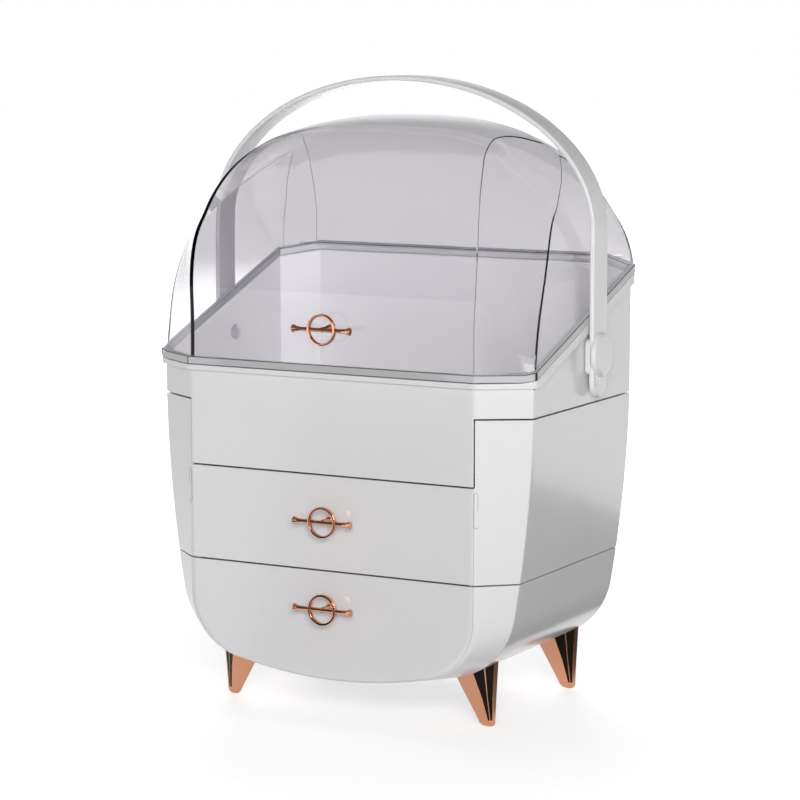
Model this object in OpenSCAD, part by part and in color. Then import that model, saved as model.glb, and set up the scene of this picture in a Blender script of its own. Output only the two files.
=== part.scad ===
// Desk-top cosmetics organiser: three stacked shells on four legs, two drawers,
// a hinged clear cover and a swinging carry handle.
// Origin: middle of the footprint on the table. +Z up, -Y is the front.

/* [Body] */
// Width of the flat front face between the corner facets
face_w = 232; // [220:1:260]
// Width of each front corner facet, seen from the front
front_facet_w = 35.5; // [30:0.5:40]
// Depth of the facets at the front corners
front_facet_d = 22; // [14:1:30]
// Width of each rear corner facet, seen from behind
rear_facet_w = 29.5; // [25:0.5:36]
// Depth of the facets at the rear corners
rear_facet_d = 15; // [10:1:24]
// Depth of the body, front face to rear face
body_d = 200; // [190:1:215]
// Height at which the body is widest
waist_h = 248; // [235:1:262]
// Radius of the slightly bulged sides
side_r = 950; // [800:10:1400]
// Radius of the rounded lower corners
corner_r = 57; // [48:1:66]
// Radius of the lower corners of the front and rear faces
face_corner_r = 46; // [38:1:54]
// Radius of the shallow curve of the underside
belly_r = 390; // [340:5:480]
// Height of the underside above the table
leg_clearance = 27.5; // [20:0.5:36]
// How much the front and rear faces stop above the underside
face_lift = 3.5; // [2:0.5:6]
// Wall thickness of the moulded shells
wall = 2.6; // [2:0.1:3.4]

/* [Levels] */
// Height of the seam between the base shell and the cabinet
lower_seam_h = 110.5; // [104:0.5:118]
// Height of the line between the upper drawer and the tray's front panel
drawer_top_h = 180; // [170:0.5:190]
// Height of the seam between the cabinet and the tray
upper_seam_h = 228; // [218:0.5:236]
// Height of the tray's rim at the front
rim_h = 253.5; // [248:0.5:262]
// Rise of the tray's side rims towards the rear, per millimetre
rim_rise = 0.375; // [0.3:0.005:0.42]
// Distance behind the front face at which the rim starts to rise
rim_break = 16; // [10:1:24]
// Gap shown between shells and around the drawer fronts
seam = 0.6; // [0.4:0.1:1]

/* [Tray] */
// Height of the lip along the front rim
lip_h = 3.8; // [3:0.1:5]
// Height of the lip along the sloping side rims
lip_side_h = 7.5; // [6:0.1:8.5]
// How far the lip stands out from the wall
lip_out = 3; // [2:0.1:3.2]
// Distance from the sides of the deep tub to the edges of the front face
tub_side_gap = 4; // [3:0.5:8]
// Gap between the tub's rear wall and the rear face
tub_rear_gap = 7; // [5:0.5:12]
// Wall thickness of the tub and of the drawer boxes
tub_wall = 2.2; // [1.8:0.1:2.8]
// Thickness of the loose partitions
partition_t = 2; // [1.5:0.1:2.5]
// Height of the loose partitions
partition_h = 38; // [30:1:44]

/* [Drawers] */
// Thickness of the drawer fronts
front_t = 3; // [2.5:0.1:4]
// How much narrower the upper drawer's box is than its front, each side
upper_box_inset = 8; // [6:0.5:14]
// Height of the upper drawer's box
upper_box_h = 56; // [44:1:58]
// How much smaller the lower drawer's box is than its front, all round
lower_box_inset = 9; // [8:0.5:14]
// Height of the lower drawer's rim
lower_box_top_h = 100; // [94:0.5:103]
// Gap left behind the drawer boxes
drawer_rear_gap = 12; // [9:0.5:20]
// Height of the guide ribs beside the upper drawer
rib_h = 12; // [8:0.5:16]
// Thickness of the guide ribs beside the upper drawer
rib_t = 3; // [2:0.5:4]

/* [Pulls] */
// Diameter of the pull rings
ring_d = 22.5; // [20:0.5:26]
// Radial thickness of the ring band
ring_t = 1.4; // [1:0.1:2]
// Depth of the ring band
ring_depth = 3.2; // [2.8:0.1:5]
// Length of the cross bars
bar_l = 47; // [44:0.5:54]
// Diameter of the cross bars
bar_d = 2.8; // [2.4:0.1:3.2]
// Diameter of the flared ends of the cross bars
bar_end_d = 5.8; // [5:0.1:7]
// Distance from the front face to the middle of the bar
pull_reach = 10; // [8:0.5:13]
// Diameter of a pull's post
post_d = 4.8; // [4.6:0.1:6]
// Diameter of the collar at the post's foot
collar_d = 6.4; // [6.2:0.1:10]
// Thickness of the collar
collar_t = 1.2; // [1:0.1:2]
// Height of the pull on the lower drawer
lower_pull_h = 84; // [76:0.5:90]
// Height of the pull on the upper drawer
upper_pull_h = 147.5; // [140:0.5:152]
// Height of the pull on the cover
cover_pull_h = 285.5; // [280:0.5:295]

/* [Legs] */
// Distance of the feet from the body's sides
leg_in = 45; // [43.5:0.5:53.5]
// How far the legs reach up past the body's underside
leg_reach_up = 29; // [26:0.5:32]
// Place of the front legs' feet behind the middle
front_leg_y = -57; // [-62:0.5:-50]
// Place of the rear legs' feet behind the middle
rear_leg_y = 77; // [68:0.5:80]
// Width of a leg at the top
leg_top_w = 46; // [40:0.5:50]
// Depth of a leg at the top
leg_top_d = 35; // [30:0.5:38]
// Width of a foot
foot_w = 13.8; // [12:0.1:16]
// Depth of a foot
foot_d = 7.5; // [6:0.1:9]
// How far the legs lean outwards going down, per millimetre of height
leg_splay = 0.25; // [0.15:0.01:0.3]

/* [Cover] */
// How far the cover stands outside the body, each side
cover_over = 0.3; // [0:0.1:0.8]
// Height of the level at which the cover starts to curve in
cover_mid_h = 300.3; // [294:0.5:306]
// Distance of the crown behind the middle of the body
crown_y = 35.5; // [25:0.5:45]
// Height of the crown above the level where the curve starts
crown_rise = 141.4; // [130:0.2:150]
// Wall thickness of the cover
cover_wall = 2.4; // [2:0.1:3]
// Height of the flange round the cover's edge
flange_h = 5.5; // [4:0.5:7]
// How far the flange stands out from the cover
flange_out = 2.6; // [2:0.1:3]

/* [Handle] */
// Gap between the body and the thick pads of the handle
handle_gap = 0.7; // [0.6:0.1:1]
// Gap between the body and the band of the handle
band_gap = 4.1; // [3.9:0.1:6]
// Thickness of the handle band
handle_t = 3.6; // [3:0.1:3.8]
// Width of the handle band, front to rear
band_w = 23.7; // [20:0.1:26]
// Height of the pivots
pivot_h = 264; // [262:0.5:266]
// Distance of the pivots behind the middle of the body
pivot_y = 14.5; // [10:0.5:20]
// Height at which the handle starts to arch
spring_h = 353.3; // [350:0.5:360]
// Height of the arch above that level
arch_rise = 108; // [104:0.5:116]
// How far the handle reaches below the pivots
pad_drop = 31; // [26:0.5:33]
// How far the thick pads reach above the pivots
pad_rise = 12; // [10:0.5:13]
// How far the thick pads reach below the pivots
pad_fall = 14; // [11:0.5:14.5]
// Diameter of the pivot pins
pin_d = 6; // [5:0.1:7]
// Diameter of the round caps over the pins
cap_d = 31.5; // [28:0.5:33]
// How far the caps stand out from the handle
cap_t = 3.8; // [3.4:0.1:5]

/* [Hinge] */
// Distance of each hinge from the middle
hinge_x = 73; // [60:1:90]
// Diameter of the hinge pins
hinge_pin_d = 3; // [2.5:0.1:3.5]
// Diameter of the knuckles
knuckle_d = 8; // [7.5:0.1:8.5]
// Length of a whole hinge
hinge_l = 26; // [22:1:34]
// Length of the middle knuckle
middle_knuckle_l = 13; // [11:0.5:16]
// Gap between the tray's lip and the knuckles
knuckle_gap = 1.9; // [1.5:0.1:3]

/* [Fixings] */
// Diameter of the screws
screw_d = 3; // [2.5:0.1:3.5]
// Diameter of the screw heads
screw_head_d = 6; // [5:0.1:7]
// Height of the screw heads
screw_head_h = 2; // [1.5:0.1:2.5]
// Diameter of the bosses that take the screws
boss_d = 9; // [8:0.5:10]
// Length of the screws that hold the tray
tray_screw_l = 10; // [8:0.5:12]
// Length of the screws that hold the base
base_screw_l = 12; // [10:0.5:14]
// Length of the screws that hold the legs
leg_screw_l = 26; // [22:0.5:28]
// Diameter of the heads of the pivot pins
pin_head_d = 11; // [10:0.5:13]
// Thickness of the heads of the pivot pins
pin_head_t = 2; // [1.5:0.1:2.2]
// Diameter of the pivot washers
washer_d = 18; // [14:0.5:20]
// Width of the pivot nuts over their corners
nut_d = 11; // [10:0.5:12]
// Thickness of the pivot nuts
nut_t = 2.5; // [2:0.1:3]

/* [Hidden] */
$fn = 48;

white = [0.87, 0.87, 0.88];
copper = [0.80, 0.50, 0.38];
smoke = [0.72, 0.72, 0.74, 0.35];
steel = [0.62, 0.62, 0.64];

eps = 0.01;
gap = seam / 2;
fit = 0.3;
body_w = face_w + 2 * front_facet_w;
rear_face_w = body_w - 2 * rear_facet_w;
tub_w = face_w - 2 * tub_side_gap;
upper_box_w = face_w - 2 * upper_box_inset;
cover_w = body_w + 2 * cover_over;
leg_x = body_w / 2 - leg_in;
handle_w = body_w + 2 * (band_gap + handle_t);
front_y = -body_d / 2;
rear_y = body_d / 2;
front_vertex_y = front_y + front_facet_d;
rear_vertex_y = rear_y - rear_facet_d;
rim_break_y = front_y + rim_break;
form_top_h = rim_h + rim_rise * (body_d - rim_break) + 20;
shelf_top_h = lower_seam_h + gap + wall;
tub_floor_h = drawer_top_h + 3;
shoulder_h = upper_seam_h + gap;
ledge_h = upper_seam_h - tray_screw_l - wall - 2;
lip_break_y = rim_break_y + (lip_side_h - lip_h) / rim_rise;

// Height of the rim's parting plane at depth y
function rim_at(y) = rim_h + rim_rise * max(0, y - rim_break_y);

// ---- Body form -----------------------------------------------------------

// Centre of the arc that blends a side arc into the bottom arc
function blend_centre(half, sr, cr, br, z0) =
    let (side_c = [half - sr, waist_h], belly_c = [0, z0 + br],
         d = norm(belly_c - side_c), r1 = sr - cr, r2 = br - cr,
         a = (r1 * r1 - r2 * r2 + d * d) / (2 * d), h = sqrt(r1 * r1 - a * a),
         u = (belly_c - side_c) / d)
    side_c + a * u + h * [u.y, -u.x];

function arc_points(c, r, a0, a1, n) = [for (i = [0:n]) c + r * [cos(a0 + (a1 - a0) * i / n),
                                                              sin(a0 + (a1 - a0) * i / n)]];
function tail(v) = [for (i = [1:len(v) - 1]) v[i]];

// Right half of an outline, from the bottom centre up to the level top
function half_outline(half, sr, cr, br, z0, top) =
    let (c = blend_centre(half, sr, cr, br, z0), belly_c = [0, z0 + br], side_c = [half - sr, waist_h],
         a_belly = atan2(c.y - belly_c.y, c.x - belly_c.x),
         a_side = atan2(c.y - side_c.y, c.x - side_c.x),
         arcs = concat(arc_points(belly_c, br, -90, a_belly, 4),
                       tail(arc_points(c, cr, a_belly, a_side, 12)),
                       tail(arc_points(side_c, sr, a_side, 0, 5))))
    concat([for (p = arcs) if (p.y < top - 0.1) p],
           [[half - sr + sqrt(sr * sr - pow(min(top - waist_h, 0), 2)), top]]);

// Closed outline: right half upwards, then the mirrored half downwards
function whole_outline(h) = concat(h, [for (i = [len(h) - 1:-1:1]) [-h[i].x, h[i].y]]);

// Outlines moved inwards by t
function body_outline(t, top) = whole_outline(
    half_outline(body_w / 2 - t, side_r - t, corner_r - t, belly_r - t, leg_clearance + t, top));
function face_outline(t, top, width = face_w) = whole_outline(
    half_outline(width / 2 - t, 40 * side_r - t, face_corner_r - t, belly_r - 30 - t,
                 leg_clearance + face_lift + t, top));

// The whole body as one solid, moved inwards by t
module body_form(t = 0) {
    rings = [face_outline(t, form_top_h, face_w + 1.2 * t), body_outline(t, form_top_h),
             body_outline(t, form_top_h), face_outline(t, form_top_h, rear_face_w + 1.2 * t)];
    ys = [front_y + t, front_vertex_y + t / 2, rear_vertex_y - t / 2, rear_y - t];
    n = len(rings[0]);
    points = [for (k = [0:3]) for (p = rings[k]) [p.x, ys[k], p.y]];
    skin = [for (k = [0:2]) for (i = [0:n - 1]) let (j = (i + 1) % n)
            each [[k * n + i, (k + 1) * n + j, (k + 1) * n + i], [k * n + i, k * n + j, (k + 1) * n + j]]];
    front_cap = [[for (i = [n - 1:-1:0]) i]];
    rear_cap = [[for (i = [0:n - 1]) 3 * n + i]];
    polyhedron(points, concat(skin, front_cap, rear_cap));
}

// A slab of everything between two levels
module level(low, high) {
    translate([-body_w, -body_d, low]) cube([2 * body_w, 2 * body_d, high - low]);
}

// Everything below a plane that is level in front and rises from the depth break_y
module below_slope(break_y, low) {
    far = body_d;
    rotate([90, 0, 90]) linear_extrude(2 * body_w, center = true)
        polygon([[-far, 0], [far, 0], [far, low + rim_rise * (far - break_y)], [break_y, low], [-far, low]]);
}

// Everything below the rim's parting plane moved up by dz
module below_rim(dz = 0) { below_slope(rim_break_y, rim_h + dz); }

// Box given by its low and high corners
module span(low, high) { translate(low) cube(high - low); }

// Mirror image added across the YZ plane
module both_sides() { children(); mirror([1, 0, 0]) children(); }

// Front-face outline as a slab between two depths, moved inwards by t
module face_slab(t, y0, y1, top) {
    translate([0, y1, 0]) rotate([90, 0, 0]) linear_extrude(y1 - y0) polygon(face_outline(t, top));
}

screw_x = body_w / 2 - 2 * boss_d - 0.5;
screw_ys = [front_vertex_y + 12, rear_vertex_y - 15];
screw_hole_r = screw_d / 2 + 0.1;
boss_r = boss_d / 2;

// ---- Tray ----------------------------------------------------------------

tub_front_y = front_y + wall;
tub_rear_y = rear_y - tub_rear_gap;
panel_w = face_w - 2 * gap;

module tray_shell() {
    difference() {
        intersection() {
            union() {
                intersection() { body_form(); level(shoulder_h, form_top_h - 1); }
                intersection() {
                    body_form(-lip_out);
                    difference() { below_rim(eps); below_slope(lip_break_y, rim_h - lip_h); }
                }
            }
            below_rim();
        }
        intersection() { body_form(wall); level(shoulder_h + wall, form_top_h + 1); }
        span([-tub_w / 2 + tub_wall, tub_front_y, shoulder_h - 1],
             [tub_w / 2 - tub_wall, tub_rear_y - tub_wall, shoulder_h + wall + 1]);
        both_sides() handle_pin_hole(wall + 2 * lip_out);
    }
}

module handle_pin_hole(depth) {
    translate([body_w / 2 - depth, pivot_y, pivot_h]) rotate([0, 90, 0])
        cylinder(r = pin_d / 2 + 0.1, h = 2 * depth);
}

module tray_boss(y) {
    translate([screw_x, y, ledge_h + wall + fit]) difference() {
        cylinder(r = boss_r, h = shoulder_h + 1 - ledge_h - wall - fit);
        translate([0, 0, -1]) cylinder(r = screw_hole_r, h = tray_screw_l);
    }
}

module top_tray() {
    color(white) {
        tray_shell();
        difference() {
            union() {
                span([-panel_w / 2, front_y, drawer_top_h + gap], [panel_w / 2, tub_front_y, shoulder_h + eps]);
                span([-tub_w / 2, tub_front_y - eps, tub_floor_h], [tub_w / 2, tub_rear_y, shoulder_h + eps]);
            }
            span([-tub_w / 2 + tub_wall, tub_front_y, tub_floor_h + tub_wall],
                 [tub_w / 2 - tub_wall, tub_rear_y - tub_wall, shoulder_h + 1]);
        }
        both_sides() for (y = screw_ys) tray_boss(y);
    }
}

// Loose cross of partitions standing in the tub, halved into each other
module tray_partitions() {
    x1 = tub_w / 2 - tub_wall - 0.5;
    y0 = tub_front_y + 0.5;
    y1 = tub_rear_y - tub_wall - 0.5;
    z0 = tub_floor_h + tub_wall + 0.1;
    rear_row_y = y0 + 0.62 * (y1 - y0);
    color(white) {
        span([-x1, rear_row_y, z0], [x1, rear_row_y + partition_t, z0 + partition_h]);
        for (x = [-x1 / 3, x1 / 3])
            span([x - partition_t / 2, y0, z0], [x + partition_t / 2, rear_row_y + eps, z0 + partition_h - 8]);
    }
}

// ---- Cabinet and base ----------------------------------------------------

slot_w = 3;
slot_l = 25;
slot_h = drawer_top_h - 17.5;

// Small upright rounded recess beside the upper drawer
module edge_slot() {
    translate([face_w / 2 + slot_w / 2 + gap, front_y + 2.2, slot_h]) rotate([90, 0, 0]) {
        translate([-slot_w / 2, -slot_l / 2 + slot_w / 2, 0]) cube([slot_w, slot_l - slot_w, 5]);
        for (s = [-1, 1]) translate([0, s * (slot_l - slot_w) / 2, 0]) cylinder(d = slot_w, h = 5);
    }
}

module mid_cabinet() {
    floor_front_y = front_y + front_t + seam;
    color(white) {
        difference() {
            intersection() { body_form(); level(lower_seam_h + gap, upper_seam_h - gap); }
            intersection() { body_form(wall); level(shelf_top_h, upper_seam_h + 1); }
            span([-face_w / 2, front_y - 1, lower_seam_h - 1], [face_w / 2, floor_front_y, upper_seam_h + 1]);
            span([-face_w / 2, front_y - 1, shelf_top_h], [face_w / 2, front_vertex_y, upper_seam_h + 1]);
            both_sides() {
                edge_slot();
                for (y = screw_ys) translate([screw_x, y, lower_seam_h - 1]) cylinder(r = screw_hole_r, h = 6);
            }
        }
        both_sides() difference() {
            intersection() {
                body_form(wall / 2);
                span([tub_w / 2 + 1, front_vertex_y + 1, ledge_h], [body_w / 2, rear_vertex_y, ledge_h + wall]);
            }
            for (y = screw_ys) translate([screw_x, y, ledge_h - 1]) cylinder(r = screw_hole_r, h = 6);
        }
    }
}

leg_boss_top = leg_clearance + 21;
leg_boss_r = 6;
leg_axis_x = leg_x - 4.5;

module base_shell() {
    landing = 5;
    color(white) difference() {
        union() {
            difference() {
                intersection() { body_form(); level(0, lower_seam_h - gap); }
                intersection() { body_form(wall); level(0, lower_seam_h + 1); }
            }
            intersection() {
                body_form(wall / 2);
                both_sides() {
                    for (y = screw_ys) translate([screw_x + 2, y, lower_seam_h - 42]) cylinder(r = boss_r + 0.5, h = 42 - gap);
                    for (y = [front_leg_y, rear_leg_y])
                        translate([leg_axis_x, y, 0]) cylinder(r = leg_boss_r, h = leg_boss_top);
                }
            }
        }
        face_slab(0, front_y - 1, front_y + front_t + seam, lower_seam_h + 1);
        face_slab(landing, front_y - 1, front_vertex_y + 4, lower_seam_h + 1);
        both_sides() {
            for (y = screw_ys) translate([screw_x, y, lower_seam_h - base_screw_l])
                cylinder(r = screw_hole_r, h = base_screw_l + 2);
            for (y = [front_leg_y, rear_leg_y]) translate([leg_axis_x, y, 0]) cylinder(r = screw_hole_r, h = leg_boss_top + 2 * wall);
        }
    }
}

// Guide ribs beside the upper drawer
module upper_runners() {
    color(white) both_sides()
        span([upper_box_w / 2 + 0.5, front_vertex_y - 8, shelf_top_h],
             [upper_box_w / 2 + 0.5 + rib_t, rear_y - drawer_rear_gap, shelf_top_h + rib_h]);
}

runner_top_h = lower_box_top_h - tub_wall - fit;

// Ledges that carry the lower drawer by its rim
module lower_runners() {
    color(white) intersection() {
        body_form(wall + eps);
        both_sides() difference() {
            span([face_w / 2 - lower_box_inset + 1, front_vertex_y + 5, runner_top_h - wall],
                 [body_w / 2, rear_y - drawer_rear_gap, runner_top_h]);
            for (y = screw_ys) translate([screw_x + 2, y, 0]) cylinder(r = boss_r + 0.5 + fit, h = lower_seam_h);
        }
    }
}

// Pan-head screw with its head's underside at the origin, pointing up
module screw(length) {
    cylinder(d = screw_d, h = length);
    translate([0, 0, -screw_head_h]) cylinder(d1 = screw_head_d * 0.8, d2 = screw_head_d, h = screw_head_h);
}

module tray_screws() {
    color(steel) both_sides() for (y = screw_ys) translate([screw_x, y, ledge_h]) screw(tray_screw_l);
}

module base_screws() {
    color(steel) both_sides() for (y = screw_ys)
        translate([screw_x, y, shelf_top_h]) mirror([0, 0, 1]) screw(base_screw_l);
}

module leg_screws() {
    color(steel) both_sides() for (y = [front_leg_y, rear_leg_y])
        translate([leg_axis_x, y, leg_boss_top]) mirror([0, 0, 1]) screw(leg_screw_l);
}

// ---- Legs ----------------------------------------------------------------

foot_h = 5;

// Outline of a leg's top and of its foot, for a width of 2 and a depth of 2
top_shape = [[-1, -0.23], [0.17, -0.94], [0.61, -0.59], [0.98, -0.27], [1, -0.1], [0.06, 1.06]];
foot_shape = [[-0.86, -0.53], [0.57, -0.61], [1, -0.05], [0, 1.33]];

// Thin slice of a leg at height z, scaled to a width and a depth
module leg_slice(shape, z, w, d) {
    translate([-leg_splay * z, 0, z]) linear_extrude(0.2) scale([w / 2, d / 2]) polygon(shape);
}

// Tapered faceted leg for the right side; foot_y is the middle of its foot
module leg(foot_y) {
    difference() {
        translate([leg_x, foot_y, 0]) hull() {
            leg_slice(top_shape, leg_clearance + leg_reach_up, leg_top_w, leg_top_d);
            leg_slice(foot_shape, foot_h, foot_w, foot_d);
            leg_slice(foot_shape, foot_h * 0.4, foot_w * 0.8, foot_d * 0.8);
            leg_slice(foot_shape, foot_h * 0.14, foot_w * 0.6, foot_d * 0.6);
            leg_slice(foot_shape, 0, foot_w * 0.45, foot_d * 0.45);
        }
        body_form(-0.02);
        translate([leg_axis_x, foot_y, leg_boss_top - leg_screw_l - 1]) cylinder(r = screw_hole_r, h = 2 * leg_screw_l);
    }
}

module front_right_leg() { color(copper) leg(front_leg_y); }
module front_left_leg() { color(copper) mirror([1, 0, 0]) leg(front_leg_y); }
module rear_right_leg() { color(copper) leg(rear_leg_y); }
module rear_left_leg() { color(copper) mirror([1, 0, 0]) leg(rear_leg_y); }

// ---- Drawers -------------------------------------------------------------

box_front_y = front_y + front_t;
box_rear_y = rear_y - drawer_rear_gap;

module pull_hole(h) {
    translate([0, front_y - 2 * front_t, h]) rotate([-90, 0, 0]) cylinder(r = screw_hole_r, h = 4 * front_t);
}

module upper_drawer_front() {
    color(white) difference() {
        span([-face_w / 2 + gap, front_y, lower_seam_h + gap],
             [face_w / 2 - gap, box_front_y, drawer_top_h - gap]);
        pull_hole(upper_pull_h);
    }
}

module upper_drawer_box() {
    low = [-upper_box_w / 2, box_front_y, shelf_top_h + fit];
    high = [upper_box_w / 2, box_rear_y, shelf_top_h + fit + upper_box_h];
    w = [tub_wall, tub_wall, tub_wall];
    color(white) difference() {
        span(low, high);
        span(low + w, [high.x - tub_wall, high.y - tub_wall, high.z + 1]);
        pull_hole(upper_pull_h);
    }
}

module lower_drawer_front() {
    color(white) difference() {
        face_slab(gap, front_y, box_front_y, lower_seam_h - gap);
        pull_hole(lower_pull_h);
    }
}

module lower_drawer_box() {
    rim_half_w = face_w / 2 - 5.6;
    color(white) difference() {
        union() {
            face_slab(lower_box_inset, box_front_y, box_rear_y, lower_box_top_h);
            span([-rim_half_w, box_front_y + 4, lower_box_top_h - tub_wall],
                 [rim_half_w, box_rear_y, lower_box_top_h]);
        }
        face_slab(lower_box_inset + tub_wall, box_front_y + tub_wall, box_rear_y - tub_wall, lower_box_top_h + 1);
        pull_hole(lower_pull_h);
    }
}

// ---- Pulls ---------------------------------------------------------------

// Turned cross bar along X through the origin
module pull_bar() {
    half = bar_l / 2;
    r = bar_d / 2;
    end_r = bar_end_d / 2;
    rotate([0, 90, 0]) rotate_extrude()
        polygon([[0, -half], [end_r * 0.8, -half], [end_r, -half + 0.6], [r + 0.3, -half + 6], [r, -half + 8],
                 [r, half - 8], [r + 0.3, half - 6], [end_r, half - 0.6], [end_r * 0.8, half], [0, half]]);
}

// Ring band round the Y axis, drilled for the bar
module pull_ring() {
    difference() {
        rotate([90, 0, 0]) rotate_extrude($fn = 96) translate([ring_d / 2 - ring_t, -ring_depth / 2])
            square([ring_t, ring_depth]);
        rotate([0, 90, 0]) cylinder(d = bar_d + 0.1, h = ring_d + 4, center = true);
    }
}

// Post from the panel to the bar, with a collar against the panel
module pull_post(panel_gap = 0) {
    difference() {
        union() {
            translate([0, pull_reach - panel_gap, 0]) rotate([90, 0, 0]) cylinder(d = collar_d, h = collar_t);
            translate([0, pull_reach - panel_gap, 0]) rotate([90, 0, 0]) cylinder(d = post_d, h = pull_reach - panel_gap);
        }
        rotate([0, 90, 0]) cylinder(d = bar_d + 0.1, h = 20, center = true);
        translate([0, 3.4, 0]) rotate([-90, 0, 0]) cylinder(r = screw_hole_r, h = 20);
    }
}

// Screw from inside the panel; wall_t is what it passes through
module pull_screw(wall_t) {
    translate([0, pull_reach + wall_t, 0]) rotate([90, 0, 0]) screw(wall_t + pull_reach - 4);
}

module at_pull(h) { translate([0, front_y - pull_reach, h]) children(); }

drawer_screw_wall = front_t + tub_wall;
cover_front_y = front_y + 0.5;
cover_front_gap = 0.5;

module upper_pull_ring() { color(copper) at_pull(upper_pull_h) pull_ring(); }
module upper_pull_bar() { color(copper) at_pull(upper_pull_h) pull_bar(); }
module upper_pull_post() { color(copper) at_pull(upper_pull_h) pull_post(); }
module upper_pull_screw() { color(steel) at_pull(upper_pull_h) pull_screw(drawer_screw_wall); }
module lower_pull_ring() { color(copper) at_pull(lower_pull_h) pull_ring(); }
module lower_pull_bar() { color(copper) at_pull(lower_pull_h) pull_bar(); }
module lower_pull_post() { color(copper) at_pull(lower_pull_h) pull_post(); }
module lower_pull_screw() { color(steel) at_pull(lower_pull_h) pull_screw(drawer_screw_wall); }
module cover_pull_ring() { color(copper) at_pull(cover_pull_h) pull_ring(); }
module cover_pull_bar() { color(copper) at_pull(cover_pull_h) pull_bar(); }
module cover_pull_post() { color(copper) at_pull(cover_pull_h) pull_post(-cover_front_gap); }
module cover_pull_screw() { color(steel) at_pull(cover_pull_h) pull_screw(cover_wall + cover_front_gap); }

// ---- Cover ---------------------------------------------------------------

// The cover is a rounded box: its front view and its side view are power curves
// round the centre [0, crown_y, cover_mid_h], joined by a high power that keeps
// the faces flat. Straight facets run over each shoulder from front to rear.
front_reach = crown_y - cover_front_y;
rear_reach = rear_y + lip_out - crown_y;
arch_pow = 2.36;
front_pow = 2.19;
rear_pow = 1.6;

// The joining power falls from 30 round the foot, where the corners are sharp, to 10 at
// the shoulders; t is the height as a share of the crown's
function box_pow(t) = 10 + 20 * pow(max(0, 1 - pow(t / 0.5, 2)), 2);

// Edges of the facets seen from the centre, front to rear. Each point has a share of the
// turn from the front corner to the rear corner of the face below it, and a rise in degrees.
inner_shares = [[0, -16], [0, -1], [0.01, 11.5], [0.03, 22.5], [0.07, 33], [0.14, 42.5], [0.27, 50],
                [0.45, 52], [0.63, 48.5], [0.8, 41.5], [0.9, 32], [0.955, 21], [0.98, 10]];
outer_shares = [[0, -16], [0.04, -1], [0.115, 11.5], [0.2, 20], [0.31, 26], [0.415, 31], [0.525, 35.5],
                [0.625, 39.5], [0.725, 42], [0.815, 38], [0.915, 29.5], [0.99, 20], [1.03, 10]];
function corner_turn(x, y) = atan2(y - crown_y, x);
function edge_angles(v, front, rear) = [for (e = v) [front + (rear - front) * e.x, e.y]];
inner_edge = edge_angles(inner_shares, corner_turn(face_w / 2, cover_front_y),
                         corner_turn(rear_face_w / 2, rear_y + lip_out));
outer_edge = edge_angles(outer_shares, corner_turn(body_w / 2, front_vertex_y),
                         corner_turn(body_w / 2, rear_vertex_y));

function power_mean(a, b, p) = pow(pow(a, p) + pow(b, p), 1 / p);

// Distance from the centre to the surface along direction d, for a cover grown by g
function reach(d, g) =
    let (z = max(d.z, 0) / (crown_rise + g),
         y = abs(d.y) / ((d.y < 0 ? front_reach : rear_reach) + g),
         x = abs(d.x) / (cover_w / 2 + g))
    1 / power_mean(power_mean(x, z, arch_pow), power_mean(y, z, d.y < 0 ? front_pow : rear_pow),
                   box_pow(z / max(x, y, z)));

centre = [0, crown_y, cover_mid_h];
function on_cover(d, g) = centre + d * reach(d, g);
function aim(turn, rise) = [cos(rise) * cos(turn), cos(rise) * sin(turn), sin(rise)];

// Point at a turn where the cover meets the parting plane moved up by dz
function edge_point(turn, g, dz, rise = 0, steps = 8) =
    let (p = on_cover(aim(turn, rise), g))
    steps == 0 ? p : edge_point(turn, g, dz,
        atan2(rim_at(p.y) + dz - cover_mid_h, norm([p.x, p.y - crown_y])), steps - 1);

// Smooth curve through listed points; s runs from 0 to 1
function along(v, s) =
    let (n = len(v) - 1, t = s * n, i = min(floor(t), n - 1), f = t - i,
         a = v[max(i - 1, 0)], b = v[i], c = v[i + 1], d = v[min(i + 2, n)])
    b + 0.5 * f * (c - a + f * (2 * a - 5 * b + 4 * c - d + f * (3 * (b - c) + d - a)));

rows = 30;
side_n = 4;
facet_n = 2;
middle_n = 10;
cols = 2 * side_n + 2 * facet_n + middle_n;

function facet_point(edge, i, g, dz) =
    let (a = along(edge, i / rows))
    i == 0 || i == rows ? edge_point(a.x, g, dz) : on_cover(aim(a.x, a.y), g);

// Point of the side edge, level with the depth y, on the right
function side_point(y, g, dz) =
    let (z = rim_at(y) + dz, d = [0, y - crown_y, z - cover_mid_h],
         zz = max(d.z, 0) / (crown_rise + g), yy = abs(d.y) / ((d.y < 0 ? front_reach : rear_reach) + g),
         b = power_mean(yy, zz, d.y < 0 ? front_pow : rear_pow), n = box_pow(zz), a = pow(1 - pow(b, n), 1 / n))
    [(cover_w / 2 + g) * pow(pow(a, arch_pow) - pow(zz, arch_pow), 1 / arch_pow), y, z];

// Point in row i and column j, where j counts from the right edge to the middle
function half_point(i, j, g, dz) =
    let (outer = facet_point(outer_edge, i, g, dz), inner = facet_point(inner_edge, i, g, dz),
         y0 = facet_point(outer_edge, 0, g, dz).y, y1 = facet_point(outer_edge, rows, g, dz).y,
         low = side_point(y0 + (y1 - y0) * i / rows, g, dz))
    j == side_n ? outer : j == side_n + facet_n ? inner :
    j < side_n ? (j == 0 ? low : on_cover(low + (outer - low) * j / side_n - centre, g)) :
    j < side_n + facet_n ? outer + (inner - outer) * (j - side_n) / facet_n :
    let (f = 1 - (j - side_n - facet_n) * 2 / middle_n, d = [inner.x * f, inner.y, inner.z] - centre)
    i == 0 || i == rows ? edge_point(atan2(d.y, d.x), g, dz) : on_cover(d, g);

function flip_x(p) = [-p.x, p.y, p.z];
function cover_point(i, j, g, dz) =
    j <= cols / 2 ? half_point(i, j, g, dz) : flip_x(half_point(i, cols - j, g, dz));

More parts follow.
